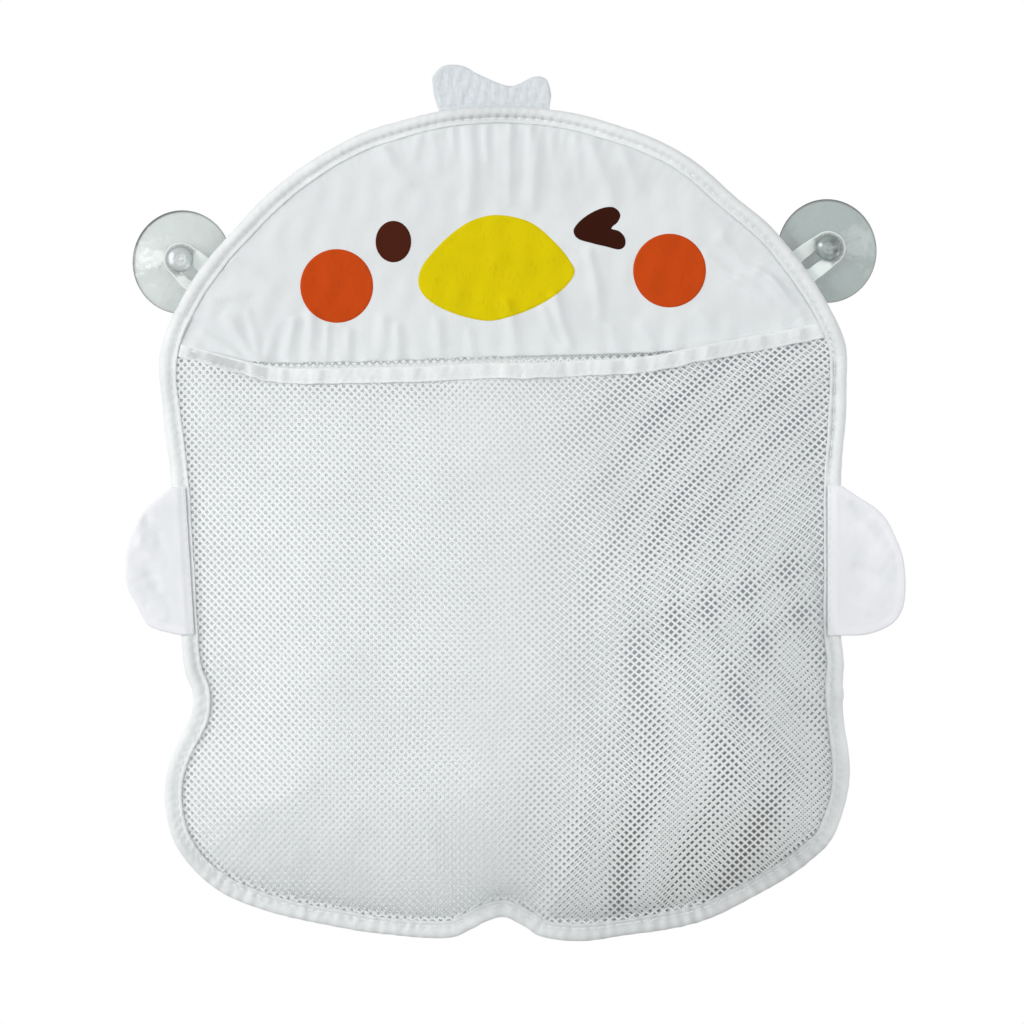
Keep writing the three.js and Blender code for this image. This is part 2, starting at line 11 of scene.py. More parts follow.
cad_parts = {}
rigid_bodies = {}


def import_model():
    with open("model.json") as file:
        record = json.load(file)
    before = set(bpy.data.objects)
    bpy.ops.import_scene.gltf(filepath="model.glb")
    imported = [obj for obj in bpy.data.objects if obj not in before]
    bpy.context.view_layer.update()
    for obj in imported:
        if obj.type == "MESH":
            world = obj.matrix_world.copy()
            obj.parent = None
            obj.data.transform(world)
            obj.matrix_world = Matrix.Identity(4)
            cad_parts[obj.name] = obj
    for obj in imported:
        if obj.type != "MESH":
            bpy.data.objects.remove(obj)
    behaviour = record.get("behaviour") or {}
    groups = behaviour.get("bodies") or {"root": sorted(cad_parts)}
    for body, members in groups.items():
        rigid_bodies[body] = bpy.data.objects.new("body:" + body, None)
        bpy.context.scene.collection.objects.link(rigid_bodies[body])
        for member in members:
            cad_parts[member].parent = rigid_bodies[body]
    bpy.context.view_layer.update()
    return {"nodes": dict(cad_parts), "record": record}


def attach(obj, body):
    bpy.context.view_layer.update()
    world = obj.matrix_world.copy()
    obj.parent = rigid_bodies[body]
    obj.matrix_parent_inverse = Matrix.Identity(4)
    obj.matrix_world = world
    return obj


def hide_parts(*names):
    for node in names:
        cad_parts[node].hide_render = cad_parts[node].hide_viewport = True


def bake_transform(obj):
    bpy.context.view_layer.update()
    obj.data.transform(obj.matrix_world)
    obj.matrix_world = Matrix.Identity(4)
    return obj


bl_info = {
    "name": "Bath Toy Organizer",
    "version": (1, 0, 0),
    "blender": (4, 5, 0),
    "location": "View3D > Sidebar > Bath Organizer",
    "description": "Net bag with a pocket, sewn bindings, prints, wings, crest and suction cups",
    "category": "Object",
}

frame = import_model()


def linear(colour):
    """A colour of the record, in the even steps of light that shaders use."""
    return tuple(c / 12.92 if c < 0.04045 else ((c + 0.055) / 1.055) ** 2.4 for c in colour[:3])


FINISHES = {m["slot"]: linear(m["base_color"]) for m in frame["record"]["materials"]}

# Sizes are in millimetres, as in the CAD model, and meshes are made in metres.
MM = 0.001

# The bag, and the depth of each layer from the wall
BAG_HALF_WIDTH = 175
BAG_HEIGHT = 425
BINDING_WIDTH = 8.7
FOLD_DEPTH = 14.0
BACK_NET_DEPTH = 12.9
FRONT_NET_DEPTH = 15.1
LAYER_INSET = 5.0
CLOTH_HALF = 0.4

# The pocket
MOUTH_BOW = 20
POCKET_DEPTH = 48
POCKET_REACH = 66
POCKET_MARGIN = 2.9
POCKET_FULL_SHARE = 0.62
MOUTH_POWER = 1.3
FULL_POWER = 0.8
MOUTH_WIDTH = 8.2
MOUTH_FOLD = 1.4

# Outline of the bag, clockwise from the left waist, in shares of its half width and height
EDGE_SHARES = [
    (-0.927, -0.505), (-0.938, -0.476), (-0.956, -0.359), (-0.973, -0.26), (-0.992, -0.199),
    (-1.005, -0.151), (-1.003, -0.123), (-0.986, -0.095), (-0.96, -0.07), (-0.925, -0.043),
    (-0.858, -0.004), (-0.809, 0.02), (-0.64, 0.088), (-0.459, 0.136), (-0.305, 0.159),
    (-0.173, 0.172), (-0.022, 0.177), (0.138, 0.173), (0.29, 0.159), (0.506, 0.124),
    (0.686, 0.064), (0.794, 0.025), (0.94, -0.058), (0.994, -0.11), (0.998, -0.133),
    (0.994, -0.199), (0.981, -0.272), (0.981, -0.368), (0.981, -0.46), (0.989, -0.488),
    (0.986, -0.521), (0.989, -0.556), (1.004, -0.603), (1.004, -0.637), (0.986, -0.671),
    (0.949, -0.706), (0.89, -0.729), (0.809, -0.752), (0.695, -0.779), (0.558, -0.803),
    (0.389, -0.816), (0.235, -0.824), (0.101, -0.819), (0.063, -0.809), (-0.001, -0.796),
    (-0.045, -0.8), (-0.089, -0.809), (-0.144, -0.819), (-0.223, -0.821), (-0.305, -0.819),
    (-0.64, -0.795), (-0.745, -0.781), (-0.832, -0.764), (-0.899, -0.742), (-0.957, -0.71),
    (-0.981, -0.679), (-0.988, -0.646), (-0.981, -0.619), (-0.957, -0.592), (-0.925, -0.568),
    (-0.908, -0.549), (-0.908, -0.526),
]
LEFT_LAP = 0.1382
RIGHT_LAP = 0.4731
RIGHT_WAIST = 0.5972
LEFT_STRAP = 0.1579
RIGHT_STRAP = 0.4315
LEFT_WING = (0.0717, 0.0152)
RIGHT_WING = (0.5197, 0.577)
MOUTH_SHARES = [
    (-1.02, -0.099), (-0.94, -0.108), (-0.803, -0.124), (-0.637, -0.137), (-0.479, -0.138),
    (-0.194, -0.135), (-0.013, -0.132), (0.22, -0.13), (0.421, -0.123), (0.564, -0.112),
    (0.788, -0.094), (0.93, -0.082), (1.02, -0.075),
]
HEM_SHARES = [
    (-1.1, -0.098), (-0.928, -0.105), (-0.887, -0.118), (-0.727, -0.13), (-0.509, -0.131),
    (-0.013, -0.124), (0.456, -0.118), (0.745, -0.107), (0.832, -0.099), (0.87, -0.085),
    (0.905, -0.074), (1.1, -0.066),
]

# Wings, in shares of their reach and of their seam's length, from the top of the seam
LEFT_WING_REACH = 25.5
RIGHT_WING_REACH = 32.6
WING_LAP = 7.0
WING_HINGE = 2
WING_BACK_DEPTH = 17.0
WING_THICKNESS = 1.9
LEFT_WING_SHARES = [
    (0, 0), (0.28, -0.07), (0.57, -0.15), (0.8, -0.28), (0.95, -0.4), (1, -0.56), (0.99, -0.66),
    (0.86, -0.755), (0.635, -0.915), (0.46, -0.95), (0, -1),
]
RIGHT_WING_SHARES = [
    (0, 0), (0.28, -0.08), (0.53, -0.15), (0.7, -0.225), (0.845, -0.345), (0.955, -0.47), (1, -0.66),
    (0.955, -0.82), (0.83, -0.905), (0.655, -0.955), (0.375, -0.993), (0, -1),
]

# Crest, in shares of its width and height, from the middle of its foot
CREST_WIDTH = 60
CREST_HEIGHT = 21.5
CREST_X = -6.4
CREST_BACK_DEPTH = 8.4
CREST_THICKNESS = 2.6
CREST_SHARES = [
    (-0.452, -0.067), (-0.497, 0.421), (-0.497, 0.732), (-0.418, 0.976), (-0.318, 1.02),
    (-0.234, 0.976), (-0.142, 0.831), (-0.025, 0.676), (0.084, 0.554), (0.151, 0.51),
    (0.234, 0.563), (0.318, 0.687), (0.393, 0.741), (0.46, 0.676), (0.489, 0.51), (0.502, 0.288),
    (0.493, 0.089),
]
CREST_FOOT_SHARES = [(0.49, -0.25), (-0.44, -0.3)]

# Prints, in shares of their half width and half height, from their middle
BEAK = (80.4, 54, -4.3, -7.4)
EYE = (18.2, 21.2, -56.5, 6)
WINK = (27, 22, 48.2, 12.2)
LEFT_CHEEK = (37.2, 37.6, -85.4, -16.6)
RIGHT_CHEEK = (37.2, 37.6, 84.2, -8.8)
BEAK_SHARES = [
    (-0.984, -0.245), (-0.946, 0), (-0.82, 0.264), (-0.58, 0.623), (-0.315, 0.887), (-0.013, 1),
    (0.429, 0.868), (0.744, 0.491), (0.933, 0.151), (1, -0.075), (0.87, -0.377), (0.555, -0.698),
    (0.177, -0.925), (-0.101, -1), (-0.517, -0.868), (-0.807, -0.66), (-0.946, -0.453),
]
WINK_SHARES = [
    (-0.962, -0.07), (-0.792, 0.302), (-0.302, 0.767), (0.264, 1.033), (0.604, 1), (0.811, 0.698),
    (0.717, 0.349), (0.472, 0.047), (0.755, -0.07), (0.981, -0.395), (0.981, -0.767),
    (0.792, -0.93), (0.264, -0.795), (-0.302, -0.628), (-0.83, -0.395),
]

# Straps and suction cups. The slots run on past the outline of the bag, and the legs are spread by these
# distances at their four edges.
LEFT_REACH = 11.4
RIGHT_REACH = 15.9
STRAP_HALF_WIDTH = 9
STRAP_DEPTH = 10.3
STRAP_THICKNESS = 1.4
STRAP_LAP = 10
STRAP_HINGE = 1.5
STRAP_EYE = 3.4
STRAP_SLOT_OVERRUN = 1
STRAP_SPREAD = {"left": (-2.0, -2.4, -2.9, 0.0), "right": (-0.45, 0.9, -0.9, 0.45)}

# Folds of the face cloth: the two ends of each, its width and its height
FACE_FOLDS = [
    (-17.6, 68, -17.6, 24, 3.2, 0.75), (2.8, 68, 1.5, 28, 2.8, 0.6), (13, 68, 15.5, 24, 3.4, 0.8),
    (-7, 68, -8.5, 48, 2.2, 0.5), (-27, 66, -29, 46, 2.4, 0.4), (22, 66, 25, 44, 2.6, 0.4),
    (-63.5, 56, -48.2, 36, 3.6, 0.75), (-44.6, 62, -44.6, 49, 2, 0.5), (-38, 63, -35, 44, 3.2, 0.5),
    (43.6, 56, 53.8, 24.7, 4, 0.85), (36, 58, 38, 40, 2.6, 0.45), (62, 50, 66, 34, 3, 0.4),
    (43.6, 0, 48.7, -31.4, 2.6, 0.7), (25.8, -22, 33.4, -45, 2.4, 0.95), (20, -30, 27, -48, 2.4, 0.5),
    (0.3, -26.3, 7.9, -49.2, 2.8, 0.7), (-108, -36, -112, -52, 2.4, 0.6), (-99, -33, -101, -53, 3, 0.7),
    (-90, -38, -91, -53, 2.2, 0.5), (-77.8, -40, -78.5, -54, 2.2, 0.6), (-63, -34, -64, -54, 3, 0.65),
    (-55.8, -38, -55, -54, 2.2, 0.5), (-32.9, -36, -33.5, -53, 2.6, 0.55), (-18, -40, -17, -52, 2.4, 0.35),
    (-126, -56, -142, -33, 2.6, 0.8), (-125, -55, -131, -30, 2.4, 0.6), (-127, -57, -152, -42, 2.4, 0.7),
    (-123, -56, -117, -36, 2.6, 0.5), (103, -2, 118, -14, 3, 0.6), (112, 6, 128, -10, 3.4, 0.65),
    (120, -12, 134, -24, 2.8, 0.5), (130, -8.4, 145.6, -23.7, 2.2, 0.55), (137, -14, 150, -30, 2.2, 0.5),
    (98, -30, 112, -42, 3.2, 0.4), (70, -36, 76, -47, 2.8, 0.4), (55, -38, 57, -48, 2.6, 0.35),
    (-140, -4, -118, -16, 3.6, 0.4), (-150, -22, -132, -20, 3, 0.35),
]
LEFT_WING_FOLDS = [
    (-188, -130, -168, -154, 3.2, -0.7), (-180, -164, -167, -186, 3, -0.55),
    (-186, -148, -176, -160, 3.4, 0.4), (-178, -136, -169, -140, 2.4, 0.35),
]
RIGHT_WING_FOLDS = [
    (178, -128, 194, -146, 3.4, -0.55), (180, -160, 198, -168, 3.2, -0.5), (176, -178, 192, -184, 3, 0.35),
    (184, -140, 199, -160, 3, 0.35),
]
POCKET_FOLDS = [
    (-160, -215, -118, -262, 7, 2.2), (-158, -205, -108, -222, 8, 1.5), (-120, -70, -96, -190, 11, 1.2),
    (-40, -66, -46, -210, 13, 1.2), (40, -64, 58, -200, 12, 1.1), (118, -56, 96, -190, 11, 1.3),
    (158, -212, 120, -250, 7, 2.0), (150, -180, 110, -214, 9, 1.3), (-90, -334, -78, -286, 5, 1.8),
    (-58, -338, -52, -292, 5, 1.6), (70, -338, 78, -292, 5.5, 1.9), (108, -328, 104, -286, 5, 1.8),
    (-124, -322, -106, -284, 5, 1.7), (136, -312, 122, -276, 5, 1.6), (34, -340, 40, -300, 5, 1.4),
]


# Lines and fields in the plane of the bag

# How many points are measured against a line at a time
BATCH = 2000


def smooth_step(value):
    """A rise from 0 to 1 with soft ends."""
    value = np.clip(value, 0, 1)
    return value * value * (3 - 2 * value)


def hump(place, middle, width):
    """A soft hill with a height of 1."""
    return np.exp(-(((place - middle) / width) ** 2))


def pleats(along, pitch, shift):
    """An even wave between 0 and 1."""
    return 0.5 + 0.5 * np.sin(2 * math.pi * along / pitch + shift)


def loop_area(loop):
    """Area inside a closed line, below 0 where it runs clockwise."""
    ahead = np.roll(loop, -1, 0)
    return 0.5 * np.sum(loop[:, 0] * ahead[:, 1] - ahead[:, 0] * loop[:, 1])


class Line:
    """A smooth line through points in X and Z, read by shares of its length."""

    per_span = 48

    def __init__(self, points, closed):
        points = np.asarray(points, float)
        if closed:
            ends = np.vstack([points[-1:], points, points[:2]])
        else:
            ends = np.vstack([2 * points[:1] - points[1:2], points, 2 * points[-1:] - points[-2:-1]])
        t = np.linspace(0, 1, self.per_span, endpoint=False)[:, None]
        spans = []
        for before, a, b, after in zip(ends, ends[1:], ends[2:], ends[3:]):
            gaps = [max(np.linalg.norm(q - p), 1e-9) ** 0.5 for p, q in ((before, a), (a, b), (b, after))]
            leave = (a - before) / gaps[0] - (b - before) / (gaps[0] + gaps[1]) + (b - a) / gaps[1]
            reach = (b - a) / gaps[1] - (after - a) / (gaps[1] + gaps[2]) + (after - b) / gaps[2]
            leave, reach = leave * gaps[1], reach * gaps[1]
            cubic = 2 * (a - b) + leave + reach
            square = 3 * (b - a) - 2 * leave - reach
            spans.append(a + leave * t + square * t**2 + cubic * t**3)
        last = spans[0][:1] if closed else ends[-2:-1]
        self.points = np.vstack([*spans, last])
        steps = np.linalg.norm(np.diff(self.points, axis=0), axis=1)
        self.run = np.concatenate([[0], np.cumsum(steps)])
        self.length = self.run[-1]
        self.closed = closed

    def at(self, share):
        """Places on the line."""
        share = np.asarray(share, float)
        share = share % 1 if self.closed else np.clip(share, 0, 1)
        where = share * self.length
        return np.stack([np.interp(where, self.run, self.points[:, k]) for k in (0, 1)], -1)

    def along(self, share):
        """Directions of the line."""
        near = 0.3 / self.length
        ahead = self.at(np.asarray(share) + near) - self.at(np.asarray(share) - near)
        return ahead / np.linalg.norm(ahead, axis=-1, keepdims=True)


def in_bag(shares):
    """Places in millimetres from shares of the bag's half width and height."""
    return [(x * BAG_HALF_WIDTH, z * BAG_HEIGHT) for x, z in shares]


def inward(share):
    """Direction into the bag, square to its edge."""
    along = EDGE.along(share)
    return np.stack([along[..., 1], -along[..., 0]], -1)


def cup_place(share, reach):
    """Centre of a cup whose strap leaves the bag's edge there."""
    return EDGE.at(share) - inward(share) * reach


# The origin lies midway between the suction cups.
EDGE = Line(in_bag(EDGE_SHARES), True)
SHIFT = -(cup_place(LEFT_STRAP, LEFT_REACH) + cup_place(RIGHT_STRAP, RIGHT_REACH)) / 2
EDGE = Line(np.array(in_bag(EDGE_SHARES)) + SHIFT, True)
MOUTH = Line(np.array(in_bag(MOUTH_SHARES)) + SHIFT, False)
HEM = Line(np.array(in_bag(HEM_SHARES)) + SHIFT, False)
OUTLINE = EDGE.at(np.linspace(0, 1, 720, endpoint=False))
BAG_BOTTOM = OUTLINE[:, 1].min()


def nearest(loop, points):
    """Distance from a closed line, the nearest place on it, and on which side of it each point lies."""
    points = np.asarray(points, float).reshape(-1, 2)
    step = np.roll(loop, -1, 0) - loop
    size = np.maximum((step**2).sum(1), 1e-12)
    lengths = np.sqrt(size)
    begin = np.concatenate([[0], np.cumsum(lengths)[:-1]])
    away, place, side = np.empty(len(points)), np.empty(len(points)), np.empty(len(points))
    for low in range(0, len(points), BATCH):
        part = slice(low, low + BATCH)
        gap = points[part, None] - loop
        t = np.clip((gap * step).sum(2) / size, 0, 1)
        left = gap - step * t[..., None]
        distance = (left**2).sum(2)
        best = distance.argmin(1)
        row = np.arange(len(best))
        away[part] = np.sqrt(distance[row, best])
        place[part] = begin[best] + t[row, best] * lengths[best]
        side[part] = np.sign(step[best, 1] * gap[row, best, 0] - step[best, 0] * gap[row, best, 1])
    return away, place, side


class Field:
    """Distance inwards from the outline of the bag, and the place on it, kept on a grid."""

    step = 1.5
    margin = 12

    def __init__(self):
        self.low = OUTLINE.min(0) - self.margin
        self.size = np.ceil((OUTLINE.max(0) + self.margin - self.low) / self.step).astype(int) + 1
        axes = [self.low[k] + self.step * np.arange(self.size[k]) for k in (0, 1)]
        grid = np.stack(np.meshgrid(*axes, indexing="ij"), -1)
        away, place, side = nearest(OUTLINE, grid)
        self.inside = (away * side).reshape(self.size)
        turn = 2 * math.pi * place / EDGE.length
        self.turn = [np.cos(turn).reshape(self.size), np.sin(turn).reshape(self.size)]

    def read(self, values, x, z):
        """Values between the points of the grid."""
        u = np.clip((x - self.low[0]) / self.step, 0, self.size[0] - 1.001)
        v = np.clip((z - self.low[1]) / self.step, 0, self.size[1] - 1.001)
        i, j = u.astype(int), v.astype(int)
        u, v = u - i, v - j
        near = values[i, j] * (1 - v) + values[i, j + 1] * v
        far = values[i + 1, j] * (1 - v) + values[i + 1, j + 1] * v
        return near * (1 - u) + far * u

    def distance(self, x, z):
        """Distance inwards from the bag's outline."""
        return self.read(self.inside, x, z)

    def place(self, x, z):
        """Distance along the outline to the nearest place on it."""
        c, s = (self.read(values, x, z) for values in self.turn)
        return (np.arctan2(s, c) % (2 * math.pi)) / (2 * math.pi) * EDGE.length


FIELD = Field()


def mouth_height(x):
    """Height of the pocket's upper edge."""
    return np.interp(x, MOUTH.points[:, 0], MOUTH.points[:, 1])


def hem_height(x):
    """Lower edge of the face cloth, which goes down behind the mouth binding at both ends."""
    hem = np.interp(x, HEM.points[:, 0], HEM.points[:, 1]) + 0.3 * wander(x, 12, 22)
    tucked = smooth_step((-128 - x) / 10) + smooth_step((x - 150) / 6)
    return hem + tucked * np.minimum(mouth_height(x) - 3 - hem, 0)


def pocket_rise(x, z):
    """How far the pocket stands out of its flat plane."""
    top = mouth_height(x)
    fill = np.sin(math.pi / 2 * np.clip((top - z) / (top - BAG_BOTTOM) / POCKET_FULL_SHARE, 0, 1)) ** 2
    inside = np.maximum(FIELD.distance(x, z) - BINDING_WIDTH - POCKET_MARGIN, 0)
    widest = BAG_HALF_WIDTH - BINDING_WIDTH
    reach = widest + (POCKET_REACH - widest) * fill
    depth = MOUTH_BOW + (POCKET_DEPTH - MOUTH_BOW) * fill
    away = 1 - np.minimum(inside / reach, 1)
    return depth * (1 - away**2) ** (MOUTH_POWER + (FULL_POWER - MOUTH_POWER) * fill)


def wander(along, wavelength, seed, terms=5):
    """A smooth uneven wave between about -1 and 1."""
    dice = np.random.RandomState(seed)
    total = np.zeros_like(np.asarray(along, float))
    for _ in range(terms):
        total += np.sin(2 * math.pi * (along * (0.6 + 0.8 * dice.rand()) / wavelength + dice.rand()))
    return total / (1.3 * terms**0.5)


def mottle(x, z, wavelength, seed, terms=8):
    """The same in the plane of the bag."""
    dice = np.random.RandomState(seed)
    total = np.zeros_like(np.asarray(x, float))
    for _ in range(terms):
        turn, size, start = dice.rand(3)
        along = x * math.cos(math.pi * turn) + z * math.sin(math.pi * turn)
        total += np.sin(2 * math.pi * (along * (0.6 + 0.8 * size) / wavelength + start))
    return total / (1.3 * terms**0.5)


def fold_lift(x, z, folds):
    """Height of a list of soft folds."""
    x, z = x + 1.2 * mottle(x, z, 38, 5), z + 1.2 * mottle(x, z, 38, 6)
    lift = np.zeros_like(x)
    for ax, az, bx, bz, width, height in folds:
        dx, dz = bx - ax, bz - az
        t = np.clip(((x - ax) * dx + (z - az) * dz) / (dx * dx + dz * dz), 0, 1)
        away = np.hypot(x - ax - t * dx, z - az - t * dz)
        lift += height * (1 - 0.55 * t) * hump(away, 0, width)
    return lift


def cloth_lift(x, z):
    """How far the face cloth stands in front of its flat plane, at its folds and gathers."""
    inside = np.maximum(FIELD.distance(x, z) - BINDING_WIDTH, 0)
    place = FIELD.place(x, z)
    gather = pleats(place, 6.1, 1.5 * wander(place, 30, 11)) * (1 + 0.6 * wander(place, 17, 12))
    middle = hump(x, -2, 34)
    rise = smooth_step(inside / 1.6)
    puckers = (0.42 + 0.9 * middle) * gather * np.exp(-inside / (5 + 9 * middle)) * rise
    hem = np.maximum(z - hem_height(x), 0)
    hem_wave = 0.6 * (1 + wander(x, 11, 21)) * np.exp(-hem / 8)
    soft = 0.7 * (1 + mottle(x, z, 46, 3)) + 0.3 * (1 + mottle(x, z, 17, 4))
    free = smooth_step(inside / 9)
    return puckers + hem_wave * rise + free * soft + 2.9 * rise * np.maximum(fold_lift(x, z, FACE_FOLDS), 0)


def cloth_front(x, z):
    """Depth of the front of the face cloth."""
    return FOLD_DEPTH + CLOTH_HALF + cloth_lift(x, z)


def pocket_depth(x, z):
    """Depth of the pocket's net, with its creases and the gathers along its lower edge."""
    inside = np.maximum(FIELD.distance(x, z) - BINDING_WIDTH - 1, 0)
    free = smooth_step(inside / 14)
    low = smooth_step((-262 - z) / 46)
    place = FIELD.place(x, z)
    gather = pleats(place, 17, 1.6 * wander(place, 60, 13))
    puckers = 1.1 * low * gather * smooth_step(inside / 9) * np.exp(-inside / 22)
    slack = 0.9 * mottle(x, z, 130, 17) + 0.15 * mottle(x, z, 50, 18)
    below = smooth_step((mouth_height(x) - z - MOUTH_WIDTH) / 26)
    folds = 0.7 * fold_lift(x, z, POCKET_FOLDS)
    return FRONT_NET_DEPTH + pocket_rise(x, z) + puckers + below * free * (slack + folds + 1)


def mouth_depth(x, z):
    """Depth of the middle of the mouth binding."""
    edges = smooth_step((FIELD.distance(x, z) - BINDING_WIDTH) / 12)
    wave = 0.7 * wander(x, 62, 31) + 0.3 * wander(x, 24, 32)
    return FRONT_NET_DEPTH + pocket_rise(x, z) + edges * (wave + 0.6)


def back_depth(x, z):
    """Depth of the back net, which hangs a little slack towards the wall."""
    free = smooth_step((FIELD.distance(x, z) - BINDING_WIDTH) / 40)
    return BACK_NET_DEPTH - free * (1.3 + 0.8 * mottle(x, z, 140, 23) + 0.1 * mottle(x, z, 50, 24))


# Meshes

# A point with less room than this lies on the rim of its patch.
RIM_ROOM = 1e-3

# Faces that meet at more degrees than this have a sharp edge.
SHARP_ANGLE = 50


def new_piece(name, points, faces, finish, smooth=True):
    """A mesh object from points in millimetres. A shell that comes out inside out is turned."""
    points = np.asarray(points, float) * MM
    faces = [list(map(int, face)) for face in faces]
    first = points[[face[0] for face in faces]]
    volume = 0.0
    for a, b in ((1, 2), (2, 3)):
        rows = [k for k, face in enumerate(faces) if len(face) > b]
        if rows:
            p = points[[faces[k][a] for k in rows]]
            q = points[[faces[k][b] for k in rows]]
            volume += float((first[rows] * np.cross(p, q)).sum())
    if volume < 0:
        faces = [face[::-1] for face in faces]
    mesh = bpy.data.meshes.new(name)
    mesh.from_pydata(points.tolist(), [], faces)
    mesh.materials.append(finish)
    mesh.polygons.foreach_set("use_smooth", [smooth] * len(mesh.polygons))
    mesh.update()
    piece = bpy.data.objects.new(name, mesh)
    bpy.context.scene.collection.objects.link(piece)
    return piece


def add_value(piece, name, values):
    """A value at each point, which the piece's finish reads."""
    layer = piece.data.attributes.new(name, "FLOAT", "POINT")
    layer.data.foreach_set("value", np.asarray(values, np.float32))


def add_map(piece, along, across):
    """A UV map in metres, from values at the points."""
    layer = piece.data.uv_layers.new(name="weave_map")
    corner = np.empty(len(piece.data.loops), int)
    piece.data.loops.foreach_get("vertex_index", corner)
    places = np.stack([along, across], -1)[corner] * MM
    layer.data.foreach_set("uv", places.astype(np.float32).ravel())


def ring_faces(rings, sides, base=0):
    """Faces of a closed tube of rings."""
    i, j = np.meshgrid(np.arange(rings - 1), np.arange(sides), indexing="ij")
    here, ahead = i * sides, (i + 1) * sides
    side = (j + 1) % sides
    quads = np.stack([here + j, here + side, ahead + side, ahead + j], -1).reshape(-1, 4) + base
    last = base + (rings - 1) * sides
    caps = [[base + k for k in range(sides)][::-1], [last + k for k in range(sides)]]
    return [*quads.tolist(), *caps]


class Tubes:
    """Gathers tubes, each from its rings of points, into one piece."""

    def __init__(self):
        self.points, self.faces, self.count = [], [], 0

    def add(self, rings):
        self.faces += ring_faces(*rings.shape[:2], self.count)
        self.points.append(rings.reshape(-1, 3))
        self.count += len(self.points[-1])

    def piece(self, name, finish, smooth=True):
        return new_piece(name, np.vstack(self.points), self.faces, finish, smooth)


def stitch_rings(centre, side, size, sides=6):
    """Rings of points round a stitch, from its middle line and a direction across it in the bag's plane."""
    turn = 2 * math.pi * np.arange(sides)[:, None] / sides
    around = np.cos(turn) * side[..., None, :] + np.sin(turn) * np.array([0.0, -1.0, 0.0])
    return centre[:, None] + size * around


def slab(front, back):
    """A closed shell between two grids of points."""
    rows, columns = front.shape[:2]
    index = np.arange(rows * columns).reshape(rows, columns)
    far = index + rows * columns
    near, away = (
        np.stack([g[:-1, :-1], g[:-1, 1:], g[1:, 1:], g[1:, :-1]], -1).reshape(-1, 4) for g in (index, far)
    )
    faces = [*near.tolist(), *away[:, ::-1].tolist()]
    rim = np.concatenate([index[0, :-1], index[:-1, -1], index[-1, :0:-1], index[:0:-1, 0]])
    rim_next = np.roll(rim, -1)
    more = rows * columns
    faces += np.stack([rim_next, rim, rim + more, rim_next + more], -1).tolist()
    return np.concatenate([front.reshape(-1, 3), back.reshape(-1, 3)]), faces


def evenly(points, spacing):
    """A closed outline with points a spacing apart."""
    loop = np.vstack([points, points[:1]])
    run = np.concatenate([[0], np.cumsum(np.linalg.norm(np.diff(loop, axis=0), axis=1))])
    count = max(8, int(round(run[-1] / spacing)))
    where = np.linspace(0, run[-1], count, endpoint=False)
    return np.stack([np.interp(where, run, loop[:, k]) for k in (0, 1)], -1)


def enclosed(loop, points):
    """Whether points lie within a closed outline."""
    ahead = np.roll(loop, -1, 0)
    found = np.zeros(len(points), bool)
    for low in range(0, len(points), BATCH):
        part = slice(low, low + BATCH)
        x, z = points[part, :1], points[part, 1:]
        spans = (loop[:, 1] > z) != (ahead[:, 1] > z)
        rise = np.where(ahead[:, 1] == loop[:, 1], 1, ahead[:, 1] - loop[:, 1])
        crossing = loop[:, 0] + (z - loop[:, 1]) / rise * (ahead[:, 0] - loop[:, 0])
        found[part] = (spans & (x < crossing)).sum(1) % 2 == 1
    return found


def fill_patch(outline, spacing, rims=(), holes=()):
    """Points and triangles that fill an outline, with closer rows of points beside its rim."""
    loops = [evenly(np.asarray(loop, float), spacing) for loop in (outline, *holes)]
    sets, edges, base = [], [], 0
    for loop in loops:
        sets.append(loop)
        edges += [(base + k, base + (k + 1) % len(loop)) for k in range(len(loop))]
        base += len(loop)

    def room(points):
        gaps = np.full(len(points), np.inf)
        for k, loop in enumerate(loops):
            away = nearest(loop, points)[0]
            gaps = np.minimum(gaps, np.where(enclosed(loop, points) == (k == 0), away, -away))
        return gaps

    for rim in rims:
        for k, loop in enumerate(loops):
            ahead = np.roll(loop, -1, 0) - np.roll(loop, 1, 0)
            ahead /= np.linalg.norm(ahead, axis=1, keepdims=True)
            turn = loop_area(loop)
            way = (1 if turn > 0 else -1) * (1 if k == 0 else -1)
            moved = loop + np.stack([-ahead[:, 1], ahead[:, 0]], -1) * way * rim
            sets.append(moved[room(moved) > 0.93 * rim])
    low, high = loops[0].min(0), loops[0].max(0)
    xs = np.arange(low[0], high[0], spacing)
    zs = np.arange(low[1], high[1], spacing * 0.87)
    grid = np.stack(np.meshgrid(xs, zs, indexing="ij"), -1)
    grid[:, 1::2, 0] += spacing / 2
    grid = grid.reshape(-1, 2)
    sets.append(grid[room(grid) > (rims[-1] if rims else 0) + 0.55 * spacing])
    flat = np.vstack(sets)
    made = delaunay_2d_cdt([Vector(p) for p in flat], edges, [], 1, 1e-6)
    points = np.array([list(v) for v in made[0]])
    faces = np.array([list(f) for f in made[2]])
    faces = faces[room(points[faces].mean(1)) > 0]
    used = np.unique(faces)
    renumber = np.zeros(len(points), int)
    renumber[used] = np.arange(len(used))
    points, faces = points[used], renumber[faces]
    p, q, r = (points[faces[:, k]] for k in range(3))
    clockwise = np.cross(q - p, r - p) < 0
    faces[clockwise] = faces[clockwise][:, ::-1]
    return points, faces, np.maximum(room(points), 0)


def pillow(points, faces, room, front, back, place=None):
    """A closed shell over a filled patch, from its depth in front and behind. The rim is shared."""
    rim = room < RIM_ROOM
    second = np.full(len(points), -1)
    second[rim] = np.nonzero(rim)[0]
    second[~rim] = len(points) + np.arange((~rim).sum())
    depth = np.where(rim, (front + back) / 2, front)
    flat = points if place is None else place(points)
    near = np.stack([flat[:, 0], -depth, flat[:, 1]], -1)
    far = np.stack([flat[:, 0], -back, flat[:, 1]], -1)[~rim]
    return np.vstack([near, far]), [*faces.tolist(), *second[faces][:, ::-1].tolist()]


